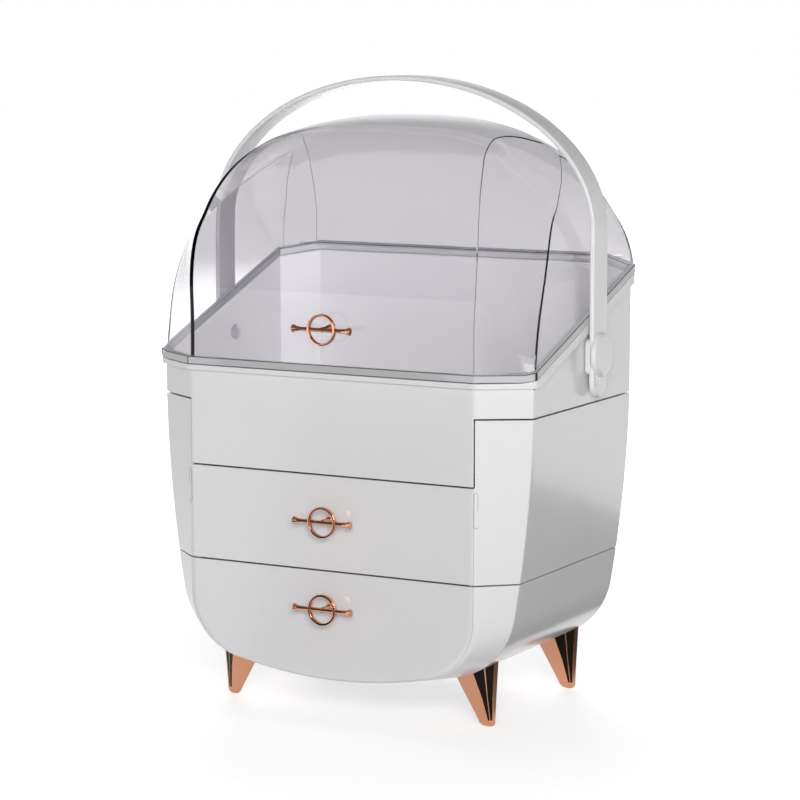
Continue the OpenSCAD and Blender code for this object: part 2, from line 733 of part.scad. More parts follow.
// Index of a grid point; the side columns of the first and last row fold into the facet's corner
function grid_id(i, j) =
    let (jj = (i == 0 || i == rows) ? min(max(j, side_n), cols - side_n) : j) i * (cols + 1) + jj;
function clean(t) = t[0] != t[1] && t[1] != t[2] && t[2] != t[0];
grid_size = (rows + 1) * (cols + 1);
grid_faces = [for (i = [0:rows - 1]) for (j = [0:cols - 1])
              let (a = grid_id(i, j), b = grid_id(i, j + 1), c = grid_id(i + 1, j + 1), d = grid_id(i + 1, j))
              each [for (t = [[a, b, c], [a, c, d]]) if (clean(t)) t]];
// Boundary as [row, column] pairs: front, left side, rear, right side
edge_loop = concat([for (j = [side_n:cols - side_n]) [0, j]], [for (i = [1:rows - 1]) [i, cols]],
                   [for (j = [cols - side_n:-1:side_n]) [rows, j]], [for (i = [rows - 1:-1:1]) [i, 0]]);
edge_n = len(edge_loop);
function ring_faces(a, b) = [for (k = [0:edge_n - 1]) let (l = (k + 1) % edge_n)
                             each [[a[k], b[k], b[l]], [a[k], b[l], a[l]]]];

module cover_skin() {
    top_dz = gap + flange_h;
    outer = [for (i = [0:rows]) for (j = [0:cols]) cover_point(i, j, 0, top_dz)];
    inner = [for (i = [0:rows]) for (j = [0:cols]) cover_point(i, j, -cover_wall, gap)];
    flange_top = [for (e = edge_loop) cover_point(e.x, e.y, flange_out, top_dz)];
    flange_low = [for (e = edge_loop) cover_point(e.x, e.y, flange_out, gap)];
    outer_ids = [for (e = edge_loop) grid_id(e.x, e.y)];
    inner_ids = [for (e = edge_loop) grid_size + grid_id(e.x, e.y)];
    top_ids = [for (k = [0:edge_n - 1]) 2 * grid_size + k];
    low_ids = [for (k = [0:edge_n - 1]) 2 * grid_size + edge_n + k];
    polyhedron(concat(outer, inner, flange_top, flange_low),
        concat(grid_faces, [for (t = grid_faces) [t[2], t[1], t[0]] + grid_size * [1, 1, 1]],
               ring_faces(outer_ids, top_ids), ring_faces(top_ids, low_ids), ring_faces(low_ids, inner_ids)));
}

module clear_cover() {
    color(smoke) difference() {
        cover_skin();
        pull_hole(cover_pull_h);
    }
}

// ---- Cover hinge ---------------------------------------------------------

hinge_y = rear_y + lip_out + knuckle_d / 2 + knuckle_gap;
hinge_h = rim_at(rear_y + lip_out);

module knuckle(x0, x1) {
    translate([x0, hinge_y, hinge_h]) rotate([0, 90, 0]) difference() {
        cylinder(d = knuckle_d, h = x1 - x0);
        translate([0, 0, -1]) cylinder(d = hinge_pin_d + 0.1, h = x1 - x0 + 2);
    }
}

// Block from a knuckle forwards to a face at y, between two levels, clear of the pin
module knuckle_foot(x0, x1, y, low, high) {
    difference() {
        span([x0, y, low], [x1, hinge_y, high]);
        translate([x0 - 1, hinge_y, hinge_h]) rotate([0, 90, 0]) cylinder(d = hinge_pin_d + 0.1, h = x1 - x0 + 2);
    }
}

// Depth at which the flange meets the parting plane at the rear
flange_rear_y = edge_point(90, flange_out, gap).y;

module cover_hinge_knuckles() {
    x0 = hinge_x - middle_knuckle_l / 2 + fit;
    x1 = hinge_x + middle_knuckle_l / 2 - fit;
    color(smoke) both_sides() {
        knuckle(x0, x1);
        knuckle_foot(x0, x1, flange_rear_y, hinge_h + 2, hinge_h + knuckle_d / 2);
    }
}

module tray_hinge_knuckles() {
    ends = [[hinge_x - hinge_l / 2, hinge_x - middle_knuckle_l / 2],
            [hinge_x + middle_knuckle_l / 2, hinge_x + hinge_l / 2]];
    color(white) both_sides() for (e = ends) {
        knuckle(e[0], e[1]);
        knuckle_foot(e[0], e[1], rear_y + lip_out, hinge_h - knuckle_d / 2, hinge_h - 1);
    }
}

module hinge_pins() {
    color(steel) both_sides() translate([hinge_x - hinge_l / 2, hinge_y, hinge_h]) rotate([0, 90, 0])
        cylinder(d = hinge_pin_d, h = hinge_l);
}

// ---- Handle --------------------------------------------------------------

handle_half = handle_w / 2;
pad_inner_x = body_w / 2 + handle_gap;
arch_n = 40;
pad_corner_r = 4;

function arch_curve(half, rise) = [for (i = [0:arch_n])
    [half * cos(180 * i / arch_n), spring_h + rise * sin(180 * i / arch_n)]];

// Rounded lower end of the band, seen from the side
module band_end() {
    translate([pivot_y - band_w / 2, pivot_h - pad_drop + band_w / 2]) square([band_w, pad_drop]);
    translate([pivot_y, pivot_h - pad_drop + band_w / 2]) circle(d = band_w);
}

// Thick pad round the pivot, seen from the side
module pad_outline() {
    translate([pivot_y, pivot_h]) offset(r = pad_corner_r)
        translate([pad_corner_r - band_w / 2, pad_corner_r - pad_fall])
            square([band_w - 2 * pad_corner_r, pad_rise + pad_fall - 2 * pad_corner_r]);
}

module carry_handle() {
    inner = handle_half - handle_t;
    low = pivot_h - pad_drop + band_w / 2;
    color(white) difference() {
        union() {
            translate([0, pivot_y + band_w / 2, 0]) rotate([90, 0, 0]) linear_extrude(band_w)
                polygon(concat([[handle_half, low]], arch_curve(handle_half, arch_rise), [[-handle_half, low]],
                               [[-inner, low]],
                               [for (i = [arch_n:-1:0]) arch_curve(inner, arch_rise - handle_t)[i]], [[inner, low]]));
            both_sides() {
                translate([inner, 0, 0]) rotate([90, 0, 90]) linear_extrude(handle_t) band_end();
                translate([pad_inner_x, 0, 0]) rotate([90, 0, 90]) linear_extrude(handle_half - pad_inner_x)
                    pad_outline();
            }
        }
        both_sides() {
            translate([pad_inner_x - 1, pivot_y, pivot_h]) rotate([0, 90, 0])
                cylinder(r = pin_d / 2 + 0.05, h = 20);
            translate([handle_half - 1.2, pivot_y - 5, pivot_h - 24]) cube([3, 10, 7]);
        }
    }
}

// Shoulder pins through the handle and the tray wall, heads outside
module handle_pins() {
    color(steel) both_sides() {
        translate([body_w / 2 - wall - nut_t - 0.5, pivot_y, pivot_h]) rotate([0, 90, 0])
            cylinder(d = pin_d, h = handle_half + 0.1 - body_w / 2 + wall + nut_t + 0.5);
        translate([handle_half + 0.1, pivot_y, pivot_h]) rotate([0, 90, 0])
            cylinder(d = pin_head_d, h = pin_head_t);
    }
}

module pivot_washers() {
    color(steel) both_sides() translate([body_w / 2 + 0.1, pivot_y, pivot_h]) rotate([0, 90, 0]) difference() {
        cylinder(d = washer_d, h = handle_gap - 0.2);
        translate([0, 0, -1]) cylinder(r = pin_d / 2 + 0.1, h = 5);
    }
}

module pivot_nuts() {
    color(steel) both_sides() translate([body_w / 2 - wall - nut_t - 0.1, pivot_y, pivot_h]) rotate([0, 90, 0])
    difference() {
        cylinder(d = nut_d, h = nut_t, $fn = 6);
        translate([0, 0, -1]) cylinder(r = pin_d / 2 + 0.05, h = 5);
    }
}

// Round cap over a pin's head, carried by the handle
module pivot_cap() {
    translate([handle_half, pivot_y, pivot_h]) rotate([0, 90, 0]) difference() {
        union() {
            cylinder(d = cap_d, h = cap_t - 1);
            translate([0, 0, cap_t - 1]) cylinder(d1 = cap_d, d2 = cap_d - 4, h = 1);
        }
        translate([0, 0, -1]) cylinder(d = pin_head_d + 0.8, h = 1 + pin_head_t + 0.4);
    }
}

module right_pivot_cap() { color(white) pivot_cap(); }
module left_pivot_cap() { color(white) mirror([1, 0, 0]) pivot_cap(); }

top_tray();
tray_partitions();
mid_cabinet();
base_shell();
upper_runners();
lower_runners();
tray_screws();
base_screws();
leg_screws();
front_left_leg();
front_right_leg();
rear_left_leg();
rear_right_leg();
upper_drawer_front();
upper_drawer_box();
lower_drawer_front();
lower_drawer_box();
upper_pull_ring();
upper_pull_bar();
upper_pull_post();
upper_pull_screw();
lower_pull_ring();
lower_pull_bar();
lower_pull_post();
lower_pull_screw();
cover_pull_ring();
cover_pull_bar();
cover_pull_post();
cover_pull_screw();
clear_cover();
cover_hinge_knuckles();
tray_hinge_knuckles();
hinge_pins();
carry_handle();
handle_pins();
pivot_washers();
pivot_nuts();
left_pivot_cap();
right_pivot_cap();
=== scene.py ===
"""Looks of the desk-top cosmetics organiser: smooth moulded shells, the clear cover,
the carry handle, the turned pulls and the tapered legs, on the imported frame."""

import math

import bmesh
import bpy
import numpy as np
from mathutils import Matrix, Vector


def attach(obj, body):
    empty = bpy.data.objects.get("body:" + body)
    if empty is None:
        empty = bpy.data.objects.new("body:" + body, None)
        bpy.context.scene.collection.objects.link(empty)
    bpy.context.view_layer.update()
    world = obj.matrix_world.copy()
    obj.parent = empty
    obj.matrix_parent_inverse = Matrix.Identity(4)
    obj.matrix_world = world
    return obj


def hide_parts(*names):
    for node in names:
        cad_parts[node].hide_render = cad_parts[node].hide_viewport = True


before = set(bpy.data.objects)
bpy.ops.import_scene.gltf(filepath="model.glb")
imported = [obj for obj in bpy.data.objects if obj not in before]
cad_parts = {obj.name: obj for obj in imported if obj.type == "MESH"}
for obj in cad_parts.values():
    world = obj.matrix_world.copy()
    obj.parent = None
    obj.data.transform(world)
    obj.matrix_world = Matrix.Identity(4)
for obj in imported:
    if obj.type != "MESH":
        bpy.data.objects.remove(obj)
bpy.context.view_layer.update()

# ---- Sizes, in millimetres --------------------------------------------------

MM = 0.001

BODY_W = 303.0
BODY_D = 200.0
FACE_W = 232.0
REAR_FACE_W = 244.0
FRONT_FACET_D = 22.0
REAR_FACET_D = 15.0
WAIST_Z = 248.0
SIDE_R = 950.0
CORNER_R = 57.0
FACE_CORNER_R = 46.0
BELLY_R = 390.0
FACE_BELLY_R = 360.0
BELLY_Z = 27.5
FACE_LIFT = 3.5
WALL = 2.6

LOWER_SEAM_Z = 110.5
DRAWER_TOP_Z = 180.0
UPPER_SEAM_Z = 228.0
SEAM_GAP = 0.6
RIM_Z = 253.5
RIM_RISE = 0.375
RIM_BREAK_Y = -84.0
LIP_H = 3.8
LIP_SIDE_H = 7.5
LIP_OUT = 3.0
LIP_BREAK_Y = RIM_BREAK_Y + (LIP_SIDE_H - LIP_H) / RIM_RISE

FRONT_Y = -BODY_D / 2
REAR_Y = BODY_D / 2
FRONT_VERTEX_Y = FRONT_Y + FRONT_FACET_D
REAR_VERTEX_Y = REAR_Y - REAR_FACET_D
HALF_GAP = SEAM_GAP / 2

# Radii of the soft edges that run up the body: face, front corner, rear corner, rear face
EDGE_RADII = (9.0, 1.6, 1.6, 6.0)
FRONT_T = 3.0
EDGE_BEVEL = 0.5
LINE_GAP = 0.55  # half of the dark line that shows between two shells
PANEL_LINE = 0.9  # width of the line between the tray's panel and the cabinet
DRAWER_LINE = 0.15  # width of the line between the upper drawer's front and the cabinet

# Frame behind the lower drawer's front: how far it reaches outside and inside the face's outline,
# and the height of the point that both are measured towards
FRAME_OUT = 1.5
FRAME_IN = 5.0
FRAME_CENTRE_Z = 110.0

TUB_HALF_W = 109.8
TUB_FRONT_Y = -95.0
TUB_REAR_Y = 90.8
TUB_FLOOR_Z = 185.2
TUB_CORNER_R = 7.0
TUB_WALL = 2.0
SHOULDER_Z = 230.9

SLOT_W = 2.8
SLOT_L = 25.0
SLOT_Z = DRAWER_TOP_Z - 16.0

RING_D = 22.5
RING_BAND = 1.6
RING_DEPTH = 3.2
BAR_L = 47.0
BAR_D = 2.8
BAR_END_D = 5.8
PULL_REACH = 10.0
POST_D = 3.8
COLLAR_D = 5.0
COLLAR_T = 1.2
UPPER_PULL_Z = 147.5
LOWER_PULL_Z = 84.0
COVER_PULL_Z = 285.5

COVER_W = BODY_W + 0.6
COVER_MID_Z = 300.3
CROWN_Y = 35.5
CROWN_RISE = 141.4
COVER_WALL = 2.4
FLANGE_H = 5.5
COVER_FRONT_Y = FRONT_Y + 0.5
LINE_SINK = 0.002  # how far the dome's dark lines, painted reflections, lie inside it, as a share of the way to its centre

HANDLE_W = 318.4
HANDLE_T = 3.6
BAND_W = 23.7
BAND_EDGE_R = 1.3
PIVOT_Z = 264.0
PIVOT_Y = 14.5
SPRING_Z = 353.3
ARCH_RISE = 108.0
PAD_DROP = 31.0
PAD_RISE = 12.0
PAD_FALL = 14.0
PAD_CORNER_R = 4.0
CAP_D = 31.5
CAP_T = 3.8

LEG_X = 106.5
LEG_SPLAY = 0.25
FOOT_Z = 5.0
LEG_TOP_Z = 57.0
LEG_SINK = 2.0  # how far a leg's top stands inside the base's outer surface
FRONT_LEG_Y = -57.0
REAR_LEG_Y = 77.0
TIP_SHARE = 0.16  # width of the leg's tip at the floor, as a share of the width where its rounding starts


# ---- Mesh helpers -----------------------------------------------------------

def new_object(name, data):
    """Object with this data, in the scene."""
    obj = bpy.data.objects.new(name, data)
    bpy.context.scene.collection.objects.link(obj)
    return obj


def mesh_object(name, points, faces, sharp_deg=30.0, merge=0.002):
    """Object from points in millimetres and lists of corner indices. Points nearer
    than merge millimetres become one, normals turn outwards, and edges that turn
    by more than sharp_deg stay sharp."""
    mesh = bpy.data.meshes.new(name)
    mesh.from_pydata((np.asarray(points, float) * MM).tolist(), [], [list(map(int, f)) for f in faces])
    work = bmesh.new()
    work.from_mesh(mesh)
    bmesh.ops.remove_doubles(work, verts=work.verts, dist=merge * MM)
    bmesh.ops.dissolve_degenerate(work, edges=work.edges, dist=merge * MM * 0.5)
    bmesh.ops.recalc_face_normals(work, faces=work.faces)
    work.to_mesh(mesh)
    work.free()
    mesh.polygons.foreach_set("use_smooth", [True] * len(mesh.polygons))
    mesh.set_sharp_from_angle(angle=math.radians(sharp_deg))
    mesh.update()
    return new_object(name, mesh)


def grid_faces(rows, cols, close_rows=False, close_cols=False):
    """Quads of a rows x cols grid of points, as an index array."""
    r = np.arange(rows if close_rows else rows - 1)
    c = np.arange(cols if close_cols else cols - 1)
    r, c = np.meshgrid(r, c, indexing="ij")
    r2, c2 = (r + 1) % rows, (c + 1) % cols
    quads = np.stack([r * cols + c, r * cols + c2, r2 * cols + c2, r2 * cols + c], axis=-1)
    return quads.reshape(-1, 4)


def grid_object(name, grid, close_rows=False, close_cols=False, **options):
    """Object from rows of points joined by quads."""
    faces = grid_faces(*grid.shape[:2], close_rows, close_cols)
    return mesh_object(name, grid.reshape(-1, 3), faces, **options)


def tube_object(name, grid, **options):
    """Closed object from rows of points that are loops, with a face over each end."""
    rows, n = grid.shape[:2]
    faces = [*grid_faces(rows, n, close_cols=True), range(n), range((rows - 1) * n, rows * n)]
    return mesh_object(name, grid.reshape(-1, 3), faces, **options)


def bevel(obj, width, angle_deg=35.0, segments=3):
    """Rounds the edges of obj that turn by more than angle_deg."""
    mod = obj.modifiers.new("soft_edges", "BEVEL")
    mod.width = width * MM
    mod.segments = segments
    mod.limit_method = "ANGLE"
    mod.angle_limit = math.radians(angle_deg)
    mod.harden_normals = True
    mod.use_clamp_overlap = True
    return mod


def give_wall(obj, outward, thickness, edge):
    """Gives an open surface a wall behind it and soft edges. First its faces are turned so
    that, summed by area, they look along outward, a direction for the centre of a face."""
    if sum(p.normal.dot(outward(p.center)) * p.area for p in obj.data.polygons) < 0:
        obj.data.flip_normals()
    mod = obj.modifiers.new("wall", "SOLIDIFY")
    mod.thickness = thickness * MM
    mod.offset = -1.0
    mod.use_even_offset = True
    bevel(obj, edge, 50)


def lathe(profile, steps):
    """Closed surface of points (along, radius) turned round the X axis: a ring of
    steps points for each profile point."""
    a = np.linspace(0, 2 * np.pi, steps, endpoint=False)
    along, radius = np.asarray(profile, float).T[..., None]
    along = np.broadcast_to(along, (len(along), steps))
    return np.stack([along, radius * np.cos(a), radius * np.sin(a)], axis=-1)


def unit(vectors):
    """Rows of vectors scaled to length 1."""
    return vectors / np.linalg.norm(vectors, axis=-1, keepdims=True)


def lengths_along(line):
    """Distance of each point of a polyline from its start, measured along it."""
    return np.concatenate([[0], np.cumsum(np.linalg.norm(np.diff(line, axis=0), axis=1))])


def points_along(line, s):
    """Points at the distances s along a polyline."""
    run = lengths_along(line)
    return np.stack([np.interp(s, run, line[:, k]) for k in range(line.shape[1])], axis=-1)


def even_steps(line, count):
    """The same polyline at count points spaced evenly along it."""
    return points_along(line, np.linspace(0, lengths_along(line)[-1], count))


def mirrored(half):
    """Closed loop of the right half (x, y), from front to rear, and its mirror image."""
    return np.vstack([half, half[-2:0:-1] * [-1, 1]])


def arc(centre, r, start, end, count):
    """Points of a circle's arc between two angles."""
    a = np.linspace(start, end, count)
    return centre + r * np.stack([np.cos(a), np.sin(a)], axis=-1)


def rounded_profile(corners, radii, steps):
    """Polyline through corners with each one replaced by an arc of its radius. The arc
    is a turn from the first tangent point to the second round their common centre."""
    corners = np.asarray(corners, float)
    out = [corners[0]]
    for before, corner, after, r in zip(corners[:-2], corners[1:-1], corners[2:], radii):
        a, b = before - corner, after - corner
        a, b = a / np.linalg.norm(a), b / np.linalg.norm(b)
        half = math.acos(np.clip(a @ b, -1, 1)) / 2
        centre = corner + (a + b) / np.linalg.norm(a + b) * r / math.sin(half)
        u, v = corner + a * r / math.tan(half) - centre, corner + b * r / math.tan(half) - centre
        whole = math.pi - 2 * half
        s = np.linspace(0, 1, steps + 1)[:, None]
        out.append(centre + (np.sin((1 - s) * whole) * u + np.sin(s * whole) * v) / math.sin(whole))
    out.append(corners[-1])
    return np.vstack(out)


# ---- Body form --------------------------------------------------------------

def rim_at(y):
    """Height of the rim's parting plane: level at the front, then a straight ramp."""
    return RIM_Z + RIM_RISE * np.maximum(0, y - RIM_BREAK_Y)


def lip_low(y):
    """Height of the lip's lower edge: level at the front, then a ramp that starts later
    than the rim's, so that the lip is taller along the sides."""
    return RIM_Z - LIP_H + RIM_RISE * np.maximum(0, y - LIP_BREAK_Y)


N_OUT = 121  # points of a body outline below the lower seam
BASE_TOP_Z = LOWER_SEAM_Z - LINE_GAP


def half_outline(half, side_r, corner_r, belly_r, low_z):
    """Right half of a body outline as (x, z), from the base's top down to the bottom
    centre, in even steps along its length: a side arc centred at waist height, a
    corner arc that touches it from inside, and a belly arc centred over the middle."""
    side_c, belly_c = np.array([half - side_r, WAIST_Z]), np.array([0, low_z + belly_r])
    gap = belly_c - side_c
    d, r1, r2 = np.linalg.norm(gap), side_r - corner_r, belly_r - corner_r
    a = (r1 * r1 - r2 * r2 + d * d) / (2 * d)
    u = gap / d
    c = side_c + a * u + math.sqrt(r1 * r1 - a * a) * np.array([u[1], -u[0]])
    a_belly = math.atan2(*(c - belly_c)[::-1])
    a_side = math.atan2(*(c - side_c)[::-1])
    line = np.vstack([arc(side_c, side_r, 0, a_side, 120)[:-1], arc(c, corner_r, a_side, a_belly, 160)[:-1],
                      arc(belly_c, belly_r, a_belly, -math.pi / 2, 120)])
    start = np.interp(-BASE_TOP_Z, -line[:, 1], line[:, 0])
    line = np.vstack([[start, BASE_TOP_Z], line[line[:, 1] < BASE_TOP_Z]])
    return even_steps(line, N_OUT)


def half_width(z):
    """Half width of the body at height z: a side arc below the waist, straight above."""
    return BODY_W / 2 - SIDE_R + np.sqrt(SIDE_R ** 2 - np.minimum(z - WAIST_Z, 0) ** 2)


def section_corners(z, grow):
    """Right half of the level cut at height z as corner points (x, y): middle of the
    front, front facet's two edges, rear facet's two edges, middle of the rear. Each moves
    outwards by grow, and along its face by the share of grow that keeps the faces parallel."""
    w = half_width(z)
    return np.array([[0, FRONT_Y - grow], [FACE_W / 2 + 0.55 * grow, FRONT_Y - grow],
                     [w + grow, FRONT_VERTEX_Y - 0.45 * grow], [w + grow, REAR_VERTEX_Y + 0.4 * grow],
                     [REAR_FACE_W / 2 + 0.6 * grow, REAR_Y + grow], [0, REAR_Y + grow]])


ARC_STEPS = 8  # steps of each soft edge that runs up the body
FLAT_N = 6  # points on each half of the front face and of the rear face

# Shares of the way along a straight run between two soft edges
RUN_SHARES = (0.0, 0.03, 0.25, 0.5, 0.75, 0.97)


def soft_line(corners, radii, first=(0.0,), last=(0.0,)):
    """Polyline through corners with an arc of its radius at each: RUN_SHARES on the straight
    runs between two arcs, and the shares first and last on the runs at the two ends."""
    line = rounded_profile(corners, radii, ARC_STEPS)
    out = []
    for k, shares in enumerate((first, RUN_SHARES, RUN_SHARES, RUN_SHARES, last)):
        at = k * (ARC_STEPS + 1)
        out += [line[at] + (line[at + 1] - line[at]) * np.array(shares)[:, None],
                line[at + 1:at + 1 + ARC_STEPS]]
    return np.vstack(out)


def section(z, grow=0.0):
    """Whole level cut at height z as a closed loop of (x, y), starting at the middle of
    the front and going to the right. The arcs of a grown loop keep their centres."""
    radii = [max(r + grow, 0.3) for r in EDGE_RADII]
    return mirrored(soft_line(section_corners(z, grow), radii, np.linspace(0, RUN_SHARES[-1], FLAT_N),
                              np.linspace(0, 1, FLAT_N, endpoint=False)))


# Columns of section(): how many belong to the flat front and half its soft edge on one side
FRONT_COLS = FLAT_N + ARC_STEPS // 2
N_COLS = len(section(WAIST_Z))


def at_height(plan, z):
    """Points (x, y, z) of a plan at one height or at a height for each."""
    return np.column_stack([plan, np.broadcast_to(z, len(plan))])


def ring_stack(rows):
    """Points of level cuts stacked as rows: each row is (height or heights, grow), where
    heights may be a function of y."""
    out = []
    for height, grow in rows:
        level = np.isscalar(height)
        plan = section(height if level else WAIST_Z, grow)
        out.append(at_height(plan, height if level else height(plan[:, 1])))
    return np.array(out)


def front_columns():
    """Indices of the loop's columns from the left end of the front face to its right end."""
    return np.concatenate([np.arange(N_COLS - FRONT_COLS, N_COLS), np.arange(0, FRONT_COLS + 1)])


# ---- Materials --------------------------------------------------------------

def feed(tree, node, inputs):
    """Sets inputs of a node, by name or number, to values or to the sockets that feed them."""
    for key, value in inputs.items():
        if isinstance(value, bpy.types.NodeSocket):
            tree.links.new(value, node.inputs[key])
        else:
            node.inputs[key].default_value = value
    return node


def add(tree, kind, inputs=(), operation=None):
    """New shader node of this kind and operation with its inputs fed."""
    node = tree.nodes.new("ShaderNode" + kind)
    if operation:
        node.operation = operation
    return feed(tree, node, dict(inputs))


def new_material(name, values):
    """New material with values for its Principled BSDF; returns it, its tree and the shader."""
    mat = bpy.data.materials.new(name)
    mat.use_nodes = True
    shader = mat.node_tree.nodes["Principled BSDF"]
    return mat, mat.node_tree, feed(mat.node_tree, shader, values)


def moulded_group():
    """Node group for moulded and polished surfaces: faint waviness of the surface as a
    normal, and cloudy changes of colour and roughness, from noise at two scales."""
    group = bpy.data.node_groups.new("moulded_surface", "ShaderNodeTree")
    for name, kind, value in (("Color", "Color", (0.8, 0.8, 0.8, 1)), ("Tint", "Float", 0.02),
                              ("Roughness", "Float", 0.25), ("Variation", "Float", 0.04),
                              ("Scale", "Float", 40.0), ("Ripple", "Float", 0.1)):
        socket = group.interface.new_socket(name, in_out="INPUT", socket_type="NodeSocket" + kind)
        socket.default_value = value
    for name, kind in (("Color", "Color"), ("Roughness", "Float"), ("Normal", "Vector")):
        group.interface.new_socket(name, in_out="OUTPUT", socket_type="NodeSocket" + kind)
    given = group.nodes.new("NodeGroupInput").outputs
    where = add(group, "TexCoord").outputs["Object"]
    fine = add(group, "Math", {0: given["Scale"], 1: 9}, "MULTIPLY").outputs[0]
    cloud = add(group, "TexNoise", {"Vector": where, "Scale": given["Scale"], "Detail": 3}).outputs["Fac"]
    grain = add(group, "TexNoise", {"Vector": where, "Scale": fine, "Detail": 2}).outputs["Fac"]

    def spread(amount, base):
        """base + (cloud - 0.5) * 2 * amount"""
        centred = add(group, "Math", {0: cloud, 1: 2, 2: -1}, "MULTIPLY_ADD").outputs[0]
        scaled = add(group, "Math", {0: centred, 1: amount}, "MULTIPLY").outputs[0]
        return add(group, "Math", {0: scaled, 1: base}, "ADD").outputs[0]

    tint = group.nodes.new("ShaderNodeMix")
    tint.data_type, tint.blend_type = "RGBA", "MULTIPLY"
    feed(group, tint, {"Factor": 1.0, 6: given["Color"], 7: spread(given["Tint"], 1.0)})
    bump = add(group, "Bump", {"Distance": 0.0002, "Strength": given["Ripple"], "Height": grain})
    feed(group, group.nodes.new("NodeGroupOutput"),
         {"Color": tint.outputs[2], "Roughness": spread(given["Variation"], given["Roughness"]),
          "Normal": bump.outputs["Normal"]})
    return group


MOULDED = moulded_group()


def moulded(name, color, roughness, scale=30.0, tint=0.015, variation=0.03, ripple=0.06, metallic=0.0,
            coat=0.0, specular=0.5):
    """Material of the moulded_surface group with its own values."""
    mat, tree, shader = new_material(name, {"Metallic": metallic, "Specular IOR Level": specular,
                                            "Coat Weight": coat, "Coat Roughness": 0.06})
    group = tree.nodes.new("ShaderNodeGroup")
    group.node_tree = MOULDED
    feed(tree, group, {"Color": (*color, 1), "Tint": tint, "Roughness": roughness, "Variation": variation,
                       "Scale": scale, "Ripple": ripple})
    feed(tree, shader, {"Base Color": group.outputs["Color"], "Roughness": group.outputs["Roughness"],
                        "Normal": group.outputs["Normal"]})
    return mat


def see_through(mat, share, color):
    """Mixes see-through of this colour into a material's surface: a share of it for most
    rays, and nothing else for shadow rays, so that what stands behind is lit."""
    tree = mat.node_tree
    shadow = add(tree, "LightPath").outputs["Is Shadow Ray"]
    level = add(tree, "Math", {0: shadow, 1: share}, "MAXIMUM").outputs[0]
    clear = add(tree, "BsdfTransparent", {"Color": (*color, 1)}).outputs["BSDF"]
    mix = add(tree, "MixShader", {"Fac": level, 1: tree.nodes["Principled BSDF"].outputs["BSDF"], 2: clear})
    feed(tree, tree.nodes["Material Output"], {"Surface": mix.outputs["Shader"]})


def clear_plastic(name, color):
    """See-through moulded plastic."""
    mat = moulded(name, color, 0.03, scale=18.0, tint=0.01, variation=0.01, ripple=0.03)
    feed(mat.node_tree, mat.node_tree.nodes["Principled BSDF"], {"IOR": 1.3, "Transmission Weight": 1.0})
    see_through(mat, 0.0, (0.93, 0.93, 0.94))
    return mat


WHITE_GLOSS = moulded("white_gloss_plastic", (0.76, 0.75, 0.76), 0.20, scale=14.0, coat=0.25)
WHITE_SATIN = moulded("white_satin_plastic", (0.74, 0.73, 0.74), 0.38, scale=20.0, ripple=0.015)
HANDLE_WHITE = moulded("handle_plastic", (0.79, 0.78, 0.79), 0.26, scale=16.0, coat=0.2)
ROSE_METAL = moulded("rose_metal", (0.74, 0.35, 0.22), 0.05, scale=90.0, tint=0.03, variation=0.02,
                     ripple=0.02, metallic=1.0)
LEG_METAL = moulded("satin_rose_metal", (0.61, 0.295, 0.18), 0.36, scale=60.0, tint=0.03, variation=0.04,
                    ripple=0.03, metallic=1.0)
# near-black for two faces of each leg: a painted dark reflection
LEG_PAINTED_REFLECTION = moulded("leg_painted_reflection", (0.012, 0.008, 0.007), 0.3, scale=90.0, tint=0.05, variation=0.04,
                     ripple=0.02, specular=0.06)
# dark grey plate beside each handle catch: painted shade of a slit
SLIT_PAINTED_SHADE = moulded("slit_painted_shade", (0.10, 0.10, 0.10), 0.5, scale=60.0, tint=0.05)
# grey tube round each capsule on the cabinet: painted shade of a fine groove
SLOT_PAINTED_SHADE = moulded("slot_painted_shade", (0.36, 0.36, 0.36), 0.5, scale=60.0, tint=0.05)
# near-black lines on the dome and flange edges: painted dark reflections
EDGE_PAINTED_REFLECTION = moulded("edge_painted_reflection", (0.03, 0.027, 0.027), 0.3, scale=60.0, tint=0.05, specular=0.12)
STEEL = moulded("plain_steel", (0.60, 0.60, 0.62), 0.3, scale=120.0, tint=0.04, variation=0.08,
                metallic=1.0)
RIM_CLEAR = moulded("clear_rim", (0.72, 0.72, 0.73), 0.08, scale=30.0, tint=0.02)
see_through(RIM_CLEAR, 0.35, (0.9, 0.9, 0.91))  # clear moulding seen on edge: a painted pale sheen, with see-through
CLEAR = clear_plastic("smoky_clear_plastic", (0.73, 0.72, 0.74))


def dress(obj, material, body, slot, nodes):
    """Gives a new piece its material and its body, and hides the nodes it stands for. The slot is not used.
    """
    obj.data.materials.clear()
    obj.data.materials.append(material)
    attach(obj, body)
    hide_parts(*nodes)


def dress_node(node, material):
    """Puts a material on a CAD node that stays in view."""
    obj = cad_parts[node]
    if not obj.material_slots:
        obj.data.materials.append(material)
    for s in obj.material_slots:
        s.material = material


# ---- Shells -----------------------------------------------------------------

def make_tray_wall():
    """Rim wall, lip and front panel as one closed ring: each column of the level cut
    carries the same closed upright profile, which reaches lower along the panel."""
    low = UPPER_SEAM_Z + LINE_GAP
    rows = [(low, -WALL), (low, 0.0), (low, 0.0), (lip_low, 0.0), (lip_low, LIP_OUT), (rim_at, LIP_OUT),
            (rim_at, -WALL), (SHOULDER_Z, -WALL), (low, -WALL)]
    columns = ring_stack(rows).transpose(1, 0, 2)
    lowered = columns.copy()
    lowered[:, :2, 2] = DRAWER_TOP_Z + LINE_GAP
    left = N_COLS - FRONT_COLS
    # the two columns beside the panel are there twice, for its upright edges
    grid = np.concatenate([lowered[:FRONT_COLS + 1], columns[FRONT_COLS:left + 1], lowered[left:]])
    obj = grid_object("tray_wall", grid, close_rows=True, close_cols=True)
    bevel(obj, EDGE_BEVEL)
    dress(obj, WHITE_GLOSS, "body", "white_plastic", ["top_tray"])


